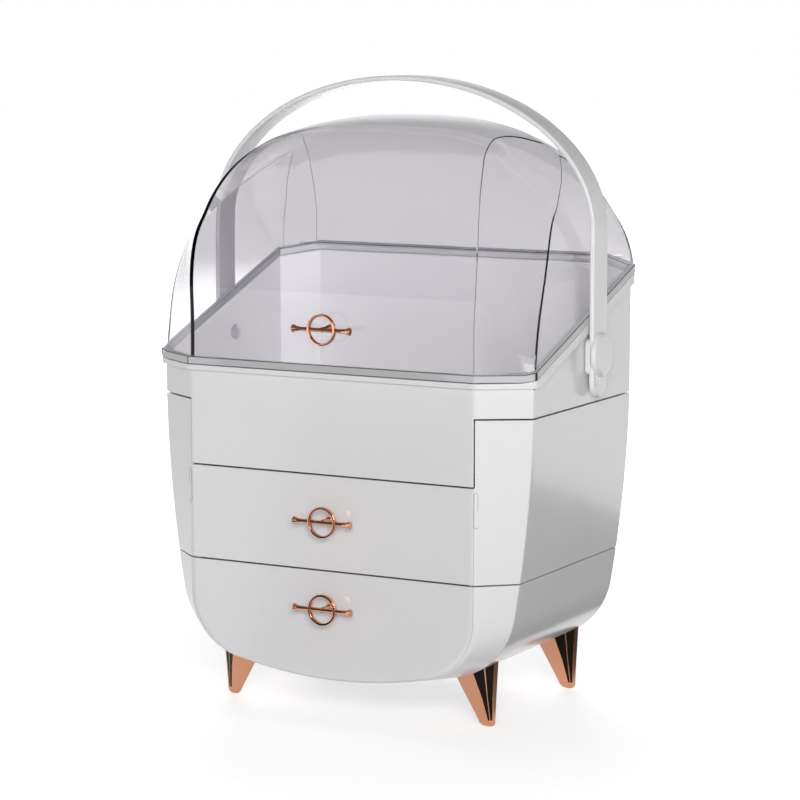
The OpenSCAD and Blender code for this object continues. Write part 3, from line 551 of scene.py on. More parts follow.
def rounded_box_loop(x, y0, y1, r, count):
    """Closed loop of count points round a rectangle with rounded corners, starting at
    the middle of the front and going to the right, evenly spaced."""
    corners = np.array([[0, y0], [x, y0], [x, y1], [0, y1]])
    return mirrored(even_steps(rounded_profile(corners, [r, r], 12), count // 2 + 1))


def make_tray_tub():
    """Shoulder and tub: the wall's inner loop at shoulder height, then loops of a rounded
    rectangle that go down and in to the floor."""
    n = 120
    ring = section(SHOULDER_Z, -WALL + 0.3)
    outer = even_steps(np.vstack([ring, ring[:1]]), n + 1)[:-1]
    loops = [at_height(outer, SHOULDER_Z)]
    for inset, z in ((0, SHOULDER_Z), (0, TUB_FLOOR_Z + 4), (1.2, TUB_FLOOR_Z + 1.2), (4, TUB_FLOOR_Z)):
        loop = rounded_box_loop(TUB_HALF_W - inset, TUB_FRONT_Y + inset, TUB_REAR_Y - inset,
                                TUB_CORNER_R, n)
        loops.append(at_height(loop, z))
    loops.append(loops[-1] * [0.02, 0.02, 1])
    grid = np.array(loops)
    faces = [*grid_faces(len(grid), n, close_cols=True), range((len(grid) - 1) * n, len(grid) * n)]
    obj = mesh_object("tray_tub", grid.reshape(-1, 3), faces)
    give_wall(obj, lambda centre: Vector((0, 0, 1)), TUB_WALL, 0.8)
    dress(obj, WHITE_SATIN, "body", "white_plastic", ["top_tray"])


def make_cabinet():
    """Wall round the upper drawer: level cuts stacked from seam to seam, from the right
    edge of the front face round the back to its left edge."""
    low, high = LOWER_SEAM_Z + LINE_GAP, UPPER_SEAM_Z - LINE_GAP
    cols = np.arange(FRONT_COLS, N_COLS - FRONT_COLS + 1)
    heights = np.concatenate([np.linspace(low, DRAWER_TOP_Z - 0.2, 11),
                              np.linspace(DRAWER_TOP_Z + 0.2, high, 6)])
    grid = ring_stack([(z, 0.0) for z in heights])[:, cols]
    # the front edge stands close to the drawer's front, and further back from the tray's panel
    grid = nudge_ends(grid, np.where(heights > DRAWER_TOP_Z, PANEL_LINE, DRAWER_LINE))
    obj = grid_object("cabinet_wall", grid)
    give_wall(obj, lambda centre: Vector((centre.x, centre.y, 0)), WALL, EDGE_BEVEL)
    dress(obj, WHITE_GLOSS, "body", "white_plastic", ["mid_cabinet"])


def nudge_ends(grid, gap):
    """Shortens each row of a grid by gap at both ends, one value for each row. Columns
    that the new end would pass are set close behind it, along the row's own line."""
    for view in (grid, grid[:, ::-1]):
        for row, g in zip(view, gap):
            s = lengths_along(row)
            at = np.maximum(s, g + 0.06 * np.arange(len(s)))
            at[-1] = s[-1]
            row[:] = points_along(row, at)
    return grid


def make_cabinet_floor():
    """Floor of the cabinet, a plate with the level cut's outline, cut off behind the
    upper drawer's front."""
    z = LOWER_SEAM_Z + HALF_GAP
    plan = section(z, -WALL + 0.2)
    plan[:, 1] = np.maximum(plan[:, 1], FRONT_Y + FRONT_T + 1.2)
    obj = tube_object("cabinet_floor", np.array([at_height(plan, level) for level in (z + 0.3, z + WALL)]))
    dress(obj, WHITE_SATIN, "body", "white_plastic", ["mid_cabinet"])


def make_upper_front():
    """Front of the upper drawer: the front columns of the level cuts, as a plate."""
    heights = np.linspace(LOWER_SEAM_Z + LINE_GAP, DRAWER_TOP_Z - LINE_GAP, 8)
    obj = grid_object("upper_drawer_face", ring_stack([(z, 0.0) for z in heights])[:, front_columns()])
    give_wall(obj, lambda centre: Vector((0, -1, 0)), FRONT_T, EDGE_BEVEL)
    dress(obj, WHITE_GLOSS, "upper_drawer", "white_plastic", ["upper_drawer_front"])


# ---- Base: outlines carried round the corners -------------------------------

FACE_SIDE_R = 40 * SIDE_R  # the outlines of the front and rear faces are nearly straight at the sides
FACE_LINE, REAR_LINE = (
    half_outline(width / 2, FACE_SIDE_R, FACE_CORNER_R, FACE_BELLY_R, BELLY_Z + FACE_LIFT)
    for width in (FACE_W, REAR_FACE_W))
SIDE_LINE = half_outline(BODY_W / 2, SIDE_R, CORNER_R, BELLY_R, BELLY_Z)


FACE_RUN = 20.0  # how far each depth profile runs along the front face and the rear face
EDGE_SHARE = 0.7  # largest radius of its soft edges, as a share of the facet's width


def base_profiles():
    """Rounded depth profile of the base for each step along the outlines, as points
    (x, y, z): front face, front facet, side or belly, rear facet, rear face."""
    rows = []
    for face, side, rear in zip(FACE_LINE, SIDE_LINE, REAR_LINE):
        out_f, out_r = side - face, side - rear
        wide_f, wide_r = np.linalg.norm(out_f), np.linalg.norm(out_r)
        rear_x = wide_f - wide_r
        corners = [[-FACE_RUN, FRONT_Y], [0, FRONT_Y], [wide_f, FRONT_VERTEX_Y],
                   [wide_f, REAR_VERTEX_Y], [rear_x, REAR_Y], [rear_x - FACE_RUN, REAR_Y]]
        line = soft_line(corners, [min(r, EDGE_SHARE * wide_f) for r in EDGE_RADII])
        front_part = line[:, 1:] < 0
        unit_f, unit_r = out_f / wide_f, out_r / wide_r
        x_z = np.where(front_part, face + line[:, :1] * unit_f, side + (line[:, :1] - wide_f) * unit_r)
        rows.append(np.column_stack([x_z[:, 0], line[:, 1], x_z[:, 1]]))
    return np.array(rows)


BASE = base_profiles()
BASE_EDGE = 5  # index of the point in the middle of the front's soft edge


def both_halves(half):
    """Rows of the right half followed by those of its mirror image, bottom row shared."""
    return np.concatenate([half, (half * [-1, 1, 1])[-2::-1]])


def make_base_shell():
    """Base: depth profiles from the front's soft edge to the rear, one for each step
    along the outline, closed at the rear. A fine line stays open beside the front."""
    half = BASE[:, BASE_EDGE:-1].copy()
    half[:, 0] += unit(half[:, 1] - half[:, 0]) * DRAWER_LINE
    grid = both_halves(np.concatenate([half, half[:, -1:] * [0, 1, 1]], axis=1))
    obj = grid_object("base_wall", grid)
    give_wall(obj, lambda centre: centre - Vector((0, 0, 90 * MM)), WALL, EDGE_BEVEL)
    dress(obj, WHITE_GLOSS, "body", "white_plastic", ["base_shell"])


def make_base_landing():
    """Frame behind the lower drawer's front: a band that follows the face's outline, with
    a rectangular profile that is set in towards a point near the middle of the seam."""
    face = BASE[:, BASE_EDGE]
    away = unit(face * [1, 0, 1] - [0, 0, FRAME_CENTRE_Z])
    y_front, y_back = FRONT_Y + FRONT_T + 0.5, FRONT_Y + FRONT_T + 3.0
    loops = []
    for inset, y in ((-FRAME_OUT, y_front), (FRAME_IN, y_front), (FRAME_IN, y_back), (-FRAME_OUT, y_back)):
        loop = face - away * inset
        loop[:, 1] = y
        loop[0, 2] = face[0, 2]
        loops.append(loop)
    obj = grid_object("base_landing", both_halves(np.stack(loops, axis=1)), close_cols=True)
    dress(obj, WHITE_SATIN, "body", "white_plastic", ["base_shell"])


def make_lower_front():
    """Front of the lower drawer: flat out to the soft edge, which follows the outline."""
    edge = BASE[:, 1:BASE_EDGE + 1]
    t = np.array([0.0, 0.3, 0.6, 0.85, 0.97])[None, :, None]
    axis = edge[:, :1] * [0, 1, 1]
    flat = axis + (edge[:, :1] - axis) * t
    obj = grid_object("lower_drawer_face", both_halves(np.concatenate([flat, edge], axis=1)))
    give_wall(obj, lambda centre: Vector((0, -1, 0)), FRONT_T - 0.6, EDGE_BEVEL * 0.6)
    dress(obj, WHITE_GLOSS, "lower_drawer", "white_plastic", ["lower_drawer_front"])


# ---- Pulls ------------------------------------------------------------------

def along_y(points):
    """Points turned a quarter round the upright axis, from lying along x to along y."""
    return points[..., [1, 0, 2]] * [-1, 1, 1]


def make_pull(z, body, prefix):
    """Ring band, turned cross bar with flared ends, and post with its collar."""
    at = [0, FRONT_Y - PULL_REACH, z]
    r, half = RING_D / 2, RING_DEPTH / 2
    band = rounded_profile([[0, r], [half, r], [half, r - RING_BAND], [-half, r - RING_BAND], [-half, r],
                            [0, r]], [0.35, 0.35, 0.35, 0.35], 5)[:-1]
    ring = grid_object(prefix + "_ring", along_y(lathe(band, 96)) + at, close_rows=True, close_cols=True)

    h, rb, re = BAR_L / 2, BAR_D / 2, BAR_END_D / 2
    side = rounded_profile([[h, 0], [h, re], [h - 0.9, re], [h - 3.2, rb + 0.5], [h - 6.5, rb + 0.1],
                            [0, rb]], [0.6, 0.6, 0.5, 3.0], 6)
    profile = np.vstack([side[1:], side[-2:0:-1] * [-1, 1]])
    bar = tube_object(prefix + "_bar", lathe(profile, 48) + at)

    collar = PULL_REACH - COLLAR_T
    profile = rounded_profile([[0, 0.01], [-0.6, POST_D / 2], [collar, POST_D / 2], [collar, COLLAR_D / 2],
                               [PULL_REACH, COLLAR_D / 2]], [0.5, 0.6, 0.6], 5)
    profile[:-1, 0] += 0.4
    post = tube_object(prefix + "_post", along_y(lathe(profile, 40)) + at)
    for obj, node_end in ((ring, "_pull_ring"), (bar, "_pull_bar"), (post, "_pull_post")):
        dress(obj, ROSE_METAL, body, "rose_metal", [prefix + node_end])


# ---- Legs -------------------------------------------------------------------

# Corners of a leg's level cut beside the foot's middle, at three heights: inner edge, front
# edge, two sides of the ridge, rear edge of the near-black faces, outer edge, rear edge. The
# near-black faces, a painted dark reflection, are those that start at the second and fourth corners.
LEG_HEIGHTS = (5.0, 22.0, LEG_TOP_Z)
LEG_CORNERS = (
    ((-6.0, -2.0), (2.5, -2.9), (3.8, -2.6), (4.2, -2.5), (5.4, -1.7), (7.2, -0.3), (0.2, 5.0)),
    ((-11.6, -2.7), (3.9, -6.9), (7.0, -5.1), (7.5, -4.75), (10.3, -3.0), (12.5, -0.8), (0.6, 9.5)),
    ((-23.1, -4.1), (3.9, -16.3), (14.2, -10.1), (15.2, -9.5), (22.0, -5.2), (23.6, -1.6), (1.5, 18.6)))
PAINTED_REFLECTION_FACES = (1, 3)


def level_corners(corners, heights):
    """Corners of the leg's cut, each at its own height, as (x, y) beside the foot."""
    lines = corners.transpose(1, 2, 0)
    return np.array([[np.interp(z, LEG_HEIGHTS, line) for line in corner]
                     for z, corner in zip(heights, lines)])


def belly_at(x, y):
    """Height of the base's outer surface above the floor: the side's outline, blended
    into the rear's over the depth of the rear facets."""
    side, rear = (np.interp(x, *line[np.argsort(line[:, 0])].T) for line in (SIDE_LINE, REAR_LINE))
    return side + (rear - side) * np.clip((y - REAR_VERTEX_Y) / REAR_FACET_D, 0, 1)


def leg_tops(corners, foot_y):
    """Height at which each edge of the leg has entered the base's wall by LEG_SINK."""
    heights = np.linspace(LEG_HEIGHTS[1], LEG_TOP_Z, 71)
    cuts = np.array([level_corners(corners, np.full(corners.shape[1], z)) for z in heights])
    surface = belly_at(cuts[..., 0] + LEG_X - LEG_SPLAY * heights[:, None], cuts[..., 1] + foot_y)
    inside = heights[:, None] > surface + LEG_SINK
    return np.where(inside.any(axis=0), heights[inside.argmax(axis=0)], LEG_TOP_Z)


def make_leg(name, side, foot_y):
    """Tapered leg: the level cut's corners change evenly between the listed heights, up
    to where each edge enters the base, and below the lowest one the cut shrinks as a
    quarter ellipse to the rounded tip. Two of its faces are painted near-black, a painted
    dark reflection, with a ridge between them."""
    corners = np.array(LEG_CORNERS, float)
    tops = leg_tops(corners, foot_y)
    low = np.full(len(tops), LEG_HEIGHTS[1])
    levels = (tops, low + (tops - low) * 0.66, low + (tops - low) * 0.33, low, low * 0.6,
              np.full_like(low, FOOT_Z))
    loops = [at_height(level_corners(corners, z), z) for z in levels]
    for t in (0.78, 0.56, 0.36, 0.2, 0.09, 0.02, 0.0):
        cut = corners[0] * (TIP_SHARE + (1 - TIP_SHARE) * math.sqrt(1 - (1 - t) ** 2))
        loops.append(at_height(cut, FOOT_Z * t))
    grid = np.array(loops)
    grid[..., 0] += LEG_X - LEG_SPLAY * grid[..., 2]
    grid[..., 1] += foot_y
    obj = tube_object(name + "_cast", grid * [side, 1, 1], sharp_deg=14, merge=0.0001)
    dress(obj, LEG_METAL, "body", "rose_metal", [name])
    # two faces of each leg take the near-black material: a painted dark reflection
    obj.data.materials.append(LEG_PAINTED_REFLECTION)
    dark = np.zeros(len(obj.data.polygons), int)
    dark[np.arange(len(levels) - 1)[:, None] * grid.shape[1] + PAINTED_REFLECTION_FACES] = 1
    obj.data.polygons.foreach_set("material_index", dark)
    bevel(obj, 0.3, 13, 2)


# ---- Handle -----------------------------------------------------------------

def handle_path():
    """Middle line of the band as (x, z): straight up from the lower end, half an ellipse
    over the top, and down the other side; with its outward normals."""
    half = HANDLE_W / 2 - HANDLE_T / 2
    rise = ARCH_RISE - HANDLE_T / 2
    leg = np.column_stack([np.full(60, half), np.linspace(PIVOT_Z - PAD_DROP, SPRING_Z, 60)])
    a = np.linspace(0, np.pi, 200)[1:-1]
    arch = np.column_stack([half * np.cos(a), SPRING_Z + rise * np.sin(a)])
    line = np.vstack([leg, arch, leg[::-1] * [-1, 1]])
    tangent = unit(np.gradient(line, axis=0))
    return line, np.column_stack([tangent[:, 1], -tangent[:, 0]])


def make_handle():
    """Band of the handle: a rounded rectangle carried along the path. Its width closes
    to a half circle at the two lower ends."""
    line, normal = handle_path()
    r, t, er = BAND_W / 2, HANDLE_T / 2, BAND_EDGE_R
    below = np.clip((PIVOT_Z - PAD_DROP + r - line[:, 1]) / r, 0, 0.999)
    half_w = r * np.sqrt(1 - below ** 2)
    # the profile's four corner arcs: distance outwards, side of the middle, distance beyond the arc's centre
    loop = []
    a = np.linspace(0, np.pi / 2, 6)
    for sx, sy, start in ((1, -1, -np.pi / 2), (1, 1, 0), (-1, 1, np.pi / 2), (-1, -1, np.pi)):
        loop.append(np.column_stack([np.full(6, sx * (t - er)) + er * np.cos(start + a),
                                     np.full(6, float(sy)), er * np.sin(start + a)]))
    outward, side, beyond = np.vstack(loop).T[:, None]
    across = half_w[:, None] * side + np.where(side > 0, -er, er) + beyond
    across = across * np.minimum(1, half_w / 3)[:, None]
    out = np.broadcast_to(outward, across.shape)
    points = np.stack([line[:, :1] + normal[:, :1] * out, PIVOT_Y + across,
                       line[:, 1:] + normal[:, 1:] * out], axis=-1)
    obj = tube_object("handle_band", points, sharp_deg=40)
    dress(obj, HANDLE_WHITE, "handle", "white_plastic", ["carry_handle"])


def rounded_plate(x0, x1, y0, y1, z0, z1, r, edge):
    """Plate between two values of x: a rectangle with round corners in y and z, whose
    loop shrinks by edge at both faces to soften its rims."""
    turn = (np.arange(4)[:, None] * np.pi / 2 + np.linspace(0, np.pi / 2, 8)).ravel()
    out = np.stack([np.cos(turn), np.sin(turn)], axis=-1)
    centres = np.array([[y1 - r, z1 - r], [y0 + r, z1 - r], [y0 + r, z0 + r], [y1 - r, z0 + r]])
    loop = np.repeat(centres, 8, axis=0) + r * out
    rows = ((x0, edge), (x0 + 0.3 * edge, 0.3 * edge), (x0 + edge, 0), (x1 - edge, 0),
            (x1 - 0.3 * edge, 0.3 * edge), (x1, edge))
    return np.array([np.column_stack([np.full(len(loop), x), loop - inset * out]) for x, inset in rows])


def make_pads():
    """Thick pads between the handle's ends and the body, and a small catch below each
    pivot cap with a dark grey plate beside it, painted shade of a slit."""
    outer = HANDLE_W / 2
    pieces = (("pivot_pad", (BODY_W / 2 + 0.7, outer - 0.6, PIVOT_Y - BAND_W / 2, PIVOT_Y + BAND_W / 2,
                             PIVOT_Z - PAD_FALL, PIVOT_Z + PAD_RISE, PAD_CORNER_R, 1.5), HANDLE_WHITE),
              ("catch", (outer - 0.5, outer + 0.7, PIVOT_Y - 8.0, PIVOT_Y + 0.6, PIVOT_Z - 22.5,
                         PIVOT_Z - 12, 2.0, 0.4), HANDLE_WHITE),
              # dark grey plate: painted shade of the slit beside the catch
              ("catch_slit_painted_shade", (outer - 0.5, outer + 0.05, PIVOT_Y - 8.6, PIVOT_Y - 7.2, PIVOT_Z - 21.0,
                              PIVOT_Z - 13.0, 0.3, 0.02), SLIT_PAINTED_SHADE))
    for name, values, material in pieces:
        for sign, side in ((1, "right_"), (-1, "left_")):
            obj = tube_object(side + name, rounded_plate(*values) * [sign, 1, 1])
            dress(obj, material, "handle", "white_plastic", ["carry_handle"])


def make_caps():
    """Round covers over the handle's pivots, slightly domed with soft rims."""
    base = HANDLE_W / 2 - 0.3
    r = CAP_D / 2
    profile = rounded_profile([[base, 0.01], [base, r], [base + CAP_T * 0.75, r], [base + CAP_T, r - 2.6],
                               [base + CAP_T + 0.15, 0.01]], [0.3, 1.2, 2.0], 6)
    grid = lathe(profile, 96) + [0, PIVOT_Y, PIVOT_Z]
    for sign, name in ((1, "right_pivot_cap"), (-1, "left_pivot_cap")):
        obj = tube_object(name + "_disc", grid * [sign, 1, 1])
        dress(obj, HANDLE_WHITE, "handle", "white_plastic", [name])


# ---- Clear cover ------------------------------------------------------------

CENTRE = np.array([0, CROWN_Y, COVER_MID_Z])
FRONT_REACH = CROWN_Y - COVER_FRONT_Y
REAR_REACH = REAR_Y + LIP_OUT - CROWN_Y
ARCH_POW, FRONT_POW, REAR_POW = 2.36, 2.19, 1.6

# Edges of the shoulder facet seen from the centre. Each point has a share of the turn from
# the front corner to the rear corner of the face below it, and a rise in degrees.
INNER_SHARES = ((0, -16), (0, -1), (0.01, 11.5), (0.03, 22.5), (0.07, 33), (0.14, 42.5), (0.27, 50),
                (0.45, 52), (0.63, 48.5), (0.8, 41.5), (0.9, 32), (0.955, 21), (0.98, 10))
OUTER_SHARES = ((0, -16), (0.04, -1), (0.115, 11.5), (0.2, 20), (0.31, 26), (0.415, 31), (0.525, 35.5),
                (0.625, 39.5), (0.725, 42), (0.815, 38), (0.915, 29.5), (0.99, 20), (1.03, 10))


def edge_angles(shares, front, rear):
    """Turns and rises in degrees from shares of the turn between two corners (x, y)."""
    v = np.array(shares, float)
    a, b = (math.degrees(math.atan2(y - CROWN_Y, x)) for x, y in (front, rear))
    return np.column_stack([a + (b - a) * v[:, 0], v[:, 1]])


INNER_EDGE = edge_angles(INNER_SHARES, (FACE_W / 2, COVER_FRONT_Y), (REAR_FACE_W / 2, REAR_Y + LIP_OUT))
OUTER_EDGE = edge_angles(OUTER_SHARES, (BODY_W / 2, FRONT_VERTEX_Y), (BODY_W / 2, REAR_VERTEX_Y))


def power_mean(a, b, p):
    """(a^p + b^p)^(1/p)"""
    return (a ** p + b ** p) ** (1 / p)


def box_pow(t):
    """Joining power at a height that is the share t of the crown's: 30 round the foot,
    where the corners are sharp, and 10 at the shoulders."""
    return 10 + 20 * np.maximum(0, 1 - (t / 0.5) ** 2) ** 2


def side_view(y, z, grow):
    """Depth y and height z from the cover's centre as shares of its reach, and where that
    point lies in the side view's power curves: 1 on the cover, less inside."""
    z = np.maximum(z, 0) / (CROWN_RISE + grow)
    front = y < 0
    y = np.abs(y) / (np.where(front, FRONT_REACH, REAR_REACH) + grow)
    return y, z, np.where(front, power_mean(y, z, FRONT_POW), power_mean(y, z, REAR_POW))


def on_cover(d, grow):
    """Point of the cover along directions d from its centre. The front view and the side
    view are power curves, and a high power joins the two."""
    y, z, side = side_view(d[..., 1], d[..., 2], grow)
    x = np.abs(d[..., 0]) / (COVER_W / 2 + grow)
    arch = power_mean(x, z, ARCH_POW)
    joining = box_pow(z / np.maximum(np.maximum(x, y), z))
    return CENTRE + d / power_mean(arch, side, joining)[..., None]


def aim(turn, rise):
    """Unit directions at these turns and rises, in degrees."""
    t, r = np.radians(turn), np.radians(rise)
    return np.stack([np.cos(r) * np.cos(t), np.cos(r) * np.sin(t), np.sin(r)], axis=-1)


def edge_points(turn, grow, lift):
    """Where the cover meets the parting plane raised by lift, at these turns: the rise is
    corrected a few times until the point lies on the plane."""
    rise = np.zeros_like(turn)
    for _ in range(14):
        x, y, _z = np.moveaxis(on_cover(aim(turn, rise), grow), -1, 0)
        rise = np.degrees(np.arctan2(rim_at(y) + lift - COVER_MID_Z, np.hypot(x, y - CROWN_Y)))
    return on_cover(aim(turn, rise), grow)


def along(points, s):
    """Smooth curve through listed points at parameters s from 0 to 1: each stretch is the
    cubic whose slopes come from the neighbouring points."""
    n = len(points) - 1
    t = s * n
    i = np.minimum(t.astype(int), n - 1)
    f = (t - i)[:, None]
    a, b, c, d = (points[np.clip(i + k, 0, n)] for k in (-1, 0, 1, 2))
    return b + 0.5 * f * (c - a + f * (2 * a - 5 * b + 4 * c - d + f * (3 * (b - c) + d - a)))


ROWS = 144
# columns of each side, of each facet, and of the crown between the facets
SIDE_N, FACET_N, MIDDLE_N = 20, 6, 60


def facet_edge(edge, grow, lift):
    """Points of a facet edge on the cover, its two ends on the parting plane."""
    a = along(edge, np.linspace(0, 1, ROWS + 1))
    points = on_cover(aim(a[:, 0], a[:, 1]), grow)
    points[[0, -1]] = edge_points(a[[0, -1], 0], grow, lift)
    return points


def side_points(y, grow, lift):
    """Points of the side edge level with the depths y, on the parting plane."""
    z = rim_at(y) + lift
    _depth, height, side = side_view(y - CENTRE[1], z - CENTRE[2], grow)
    n = box_pow(height)
    arch = (1 - side ** n) ** (1 / n)
    x = (COVER_W / 2 + grow) * (arch ** ARCH_POW - height ** ARCH_POW) ** (1 / ARCH_POW)
    return np.stack([x, y, z], axis=-1)


def cover_grid(grow, lift):
    """Cover surface as a grid of points. Rows run from front to rear along the facets;
    columns run from the right edge over the facet and the crown to the left."""
    outer, inner = facet_edge(OUTER_EDGE, grow, lift), facet_edge(INNER_EDGE, grow, lift)
    low = side_points(np.linspace(outer[0, 1], outer[-1, 1], ROWS + 1), grow, lift)
    s = (np.arange(1, SIDE_N) / SIDE_N)[None, :, None]
    side = on_cover(low[:, None] + (outer - low)[:, None] * s - CENTRE, grow)
    s = (np.arange(FACET_N + 1) / FACET_N)[None, :, None]
    facet = outer[:, None] + (inner - outer)[:, None] * s
    towards_middle = np.ones((MIDDLE_N // 2, 3))
    towards_middle[:, 0] = 1 - np.arange(1, MIDDLE_N // 2 + 1) * 2 / MIDDLE_N
    d = (inner[:, None] - CENTRE) * towards_middle
    middle = on_cover(d, grow)
    for row in (0, -1):
        middle[row] = edge_points(np.degrees(np.arctan2(d[row, :, 1], d[row, :, 0])), grow, lift)
        side[row] = outer[row]
    half = np.concatenate([low[:, None], side, facet, middle], axis=1)
    half[0, 0], half[-1, 0] = outer[0], outer[-1]
    return np.concatenate([half, half[:, -2::-1] * [-1, 1, 1]], axis=1)


def boundary(grid):
    """Closed loop of a grid's outer points: front, left side, rear, right side."""
    front, rear = grid[0, SIDE_N:-SIDE_N], grid[-1, SIDE_N:-SIDE_N][::-1]
    return np.concatenate([front, grid[1:-1, -1], rear, grid[1:-1, 0][::-1]])


def make_cover():
    """Clear dome: outer and inner surface, joined round the edge by a level rim."""
    top, low = HALF_GAP + FLANGE_H, HALF_GAP + 0.3
    outer, inner = cover_grid(0.0, top), cover_grid(-COVER_WALL, low)
    n, m = outer.shape[0] * outer.shape[1], len(boundary(outer))
    loops = np.concatenate([boundary(outer), boundary(cover_grid(0.0, low)), boundary(inner)])
    points = np.concatenate([outer.reshape(-1, 3), inner.reshape(-1, 3), loops])
    quads = grid_faces(*outer.shape[:2])
    faces = np.concatenate([quads, quads[:, ::-1] + n, grid_faces(3, m, close_cols=True) + 2 * n])
    obj = mesh_object("cover_dome", points, faces, sharp_deg=7.0)
    dress(obj, CLEAR, "cover", "clear_plastic", ["clear_cover"])
    make_cover_lines(outer)


def thin_line(name, line, radius, material, owner=("cover", "clear_plastic", ["clear_cover"])):
    """Fine tube round a polyline: at each point a circle across the line's direction."""
    tangent = unit(np.gradient(line, axis=0))
    side = unit(np.cross(tangent, [0.31, 0.2, 0.93]))
    other = np.cross(tangent, side)
    a = np.linspace(0, 2 * np.pi, 8, endpoint=False)[None, :, None]
    radius = np.broadcast_to(radius, (len(line),))[:, None, None]
    grid = line[:, None] + radius * (side[:, None] * np.cos(a) + other[:, None] * np.sin(a))
    dress(tube_object(name, grid, sharp_deg=60, merge=0.0001), material, *owner)


def make_cover_lines(outer):
    """Near-black tubes along the dome's moulded edges, painted dark reflections of those edges:
    one along each outer facet edge and a finer one along each inner facet edge, sunk into the wall."""
    share = np.linspace(0, 1, ROWS + 1)
    inner = ("inner", SIDE_N + FACET_N, (0, 0.3, 0.45, 0.7, 1), (0.12, 0.18, 0.36, 0.2, 0.12))
    for side, flip, radii in (("right", 1, (0.6, 0.3, 0.22, 0.18)), ("left", -1, (0.24, 0.22, 0.22, 0.18))):
        for name, column, at, r in (("outer", SIDE_N, (0, 0.12, 0.5, 1), radii), inner):
            line = (CENTRE + (outer[:, column] - CENTRE) * (1 - LINE_SINK)) * [flip, 1, 1]
            thin_line("%s_%s_edge_line" % (side, name), line, np.interp(share, at, r), EDGE_PAINTED_REFLECTION)


def sharp_plan(grow):
    """Plan of the body grown outwards as a closed loop with sharp corners: lines parallel
    to the eight faces, cut with each other, with even steps along each."""
    corners = section_corners(WAIST_Z, 0)
    lines = []
    for a, b in zip(corners[:-1], corners[1:]):
        out = unit((b - a)[::-1] * [1, -1])
        lines.append((out, out @ a + grow))
    turns = [np.array([0, FRONT_Y - grow])]
    for (n1, d1), (n2, d2) in zip(lines[:-1], lines[1:]):
        turns.append(np.linalg.solve(np.array([n1, n2]), [d1, d2]))
    turns.append(np.array([0, REAR_Y + grow]))
    t = np.linspace(0, 1, 12, endpoint=False)[:, None]
    return mirrored(np.vstack([a + (b - a) * t for a, b in zip(turns[:-1], turns[1:])] + [turns[-1:]]))


def make_flange():
    """Flange round the dome's foot: the body's plan grown to the lip's outline, as a
    closed ring of rectangular profile on the sloping parting plane, with a painted dark
    reflection line up three of its corners."""
    plan, inner = sharp_plan(LIP_OUT - 0.3), sharp_plan(-COVER_WALL + 0.3)
    low, high = HALF_GAP, HALF_GAP + FLANGE_H
    grid = np.array([at_height(loop, rim_at(loop[:, 1]) + lift)
                     for loop, lift in ((inner, low), (plan, low), (plan, high), (inner, high))])
    obj = grid_object("cover_flange", grid, close_rows=True, close_cols=True)
    dress(obj, RIM_CLEAR, "cover", "clear_plastic", ["clear_cover"])
    obj.data.materials.append(EDGE_PAINTED_REFLECTION)
    # near-black bevel faces along the flange's edges: painted dark reflections
    bevel(obj, 0.4, 60, 1).material = 1
    corners = (("right", 1, BODY_W / 2, FRONT_VERTEX_Y, 0.95),
               ("left", -1, BODY_W / 2, FRONT_VERTEX_Y, 0.6), ("left", -1, FACE_W / 2, FRONT_Y, 0.5))
    for k, (side, sign, x, y, r) in enumerate(corners):
        x, y, top = grid[2, np.argmin(np.hypot(plan[:, 0] - sign * x * 1.02, plan[:, 1] - y * 1.02))]
        x, y = x - 0.3 * sign, y + 0.3
        z = np.linspace(rim_at(y) + HALF_GAP + 0.2, top - 0.1, 4)
        line = np.column_stack([np.full(4, x), np.full(4, y), z])
        thin_line("%s_rim_corner_%d" % (side, k), line, r, EDGE_PAINTED_REFLECTION)


def along_cut(z, s):
    """Points (x, y) at the distances s along the level cut, from the front's right edge."""
    return points_along(section(z)[FRONT_COLS:2 * FRONT_COLS], s)


def make_slot_outlines():
    """Faint upright capsule on the cabinet's edge at each side of the upper drawer: two
    half circles joined by straight runs, blended between the level cuts at its ends. It is
    a thin grey tube, painted shade of a fine groove."""
    turn = np.linspace(0, 2 * np.pi, 57)
    r = SLOT_W / 2
    across = r * np.cos(turn) + r + 2 * DRAWER_LINE
    up = r * np.sin(turn) + np.sign(np.sin(turn)) * (SLOT_L / 2 - r)
    low, high = along_cut(SLOT_Z - SLOT_L / 2, across), along_cut(SLOT_Z + SLOT_L / 2, across)
    share = (0.5 + up / SLOT_L)[:, None]
    line = np.column_stack([low + (high - low) * share, SLOT_Z + up])
    for side, flip in (("right", 1), ("left", -1)):
        thin_line(side + "_slot_outline", line * [flip, 1, 1], 0.2, SLOT_PAINTED_SHADE,
                  ("body", "white_plastic", ["mid_cabinet"]))


# ---- Build ------------------------------------------------------------------

make_tray_wall()
make_tray_tub()
make_cabinet()
make_cabinet_floor()
make_upper_front()
make_base_shell()
make_base_landing()
make_lower_front()
make_pull(UPPER_PULL_Z, "upper_drawer", "upper")
make_pull(LOWER_PULL_Z, "lower_drawer", "lower")
make_pull(COVER_PULL_Z, "cover", "cover")
for leg_name, leg_side, leg_y in (("front_right_leg", 1, FRONT_LEG_Y), ("front_left_leg", -1, FRONT_LEG_Y),
                                  ("rear_right_leg", 1, REAR_LEG_Y), ("rear_left_leg", -1, REAR_LEG_Y)):
    make_leg(leg_name, leg_side, leg_y)
make_handle()
make_pads()
make_caps()
make_cover()
make_flange()
make_slot_outlines()

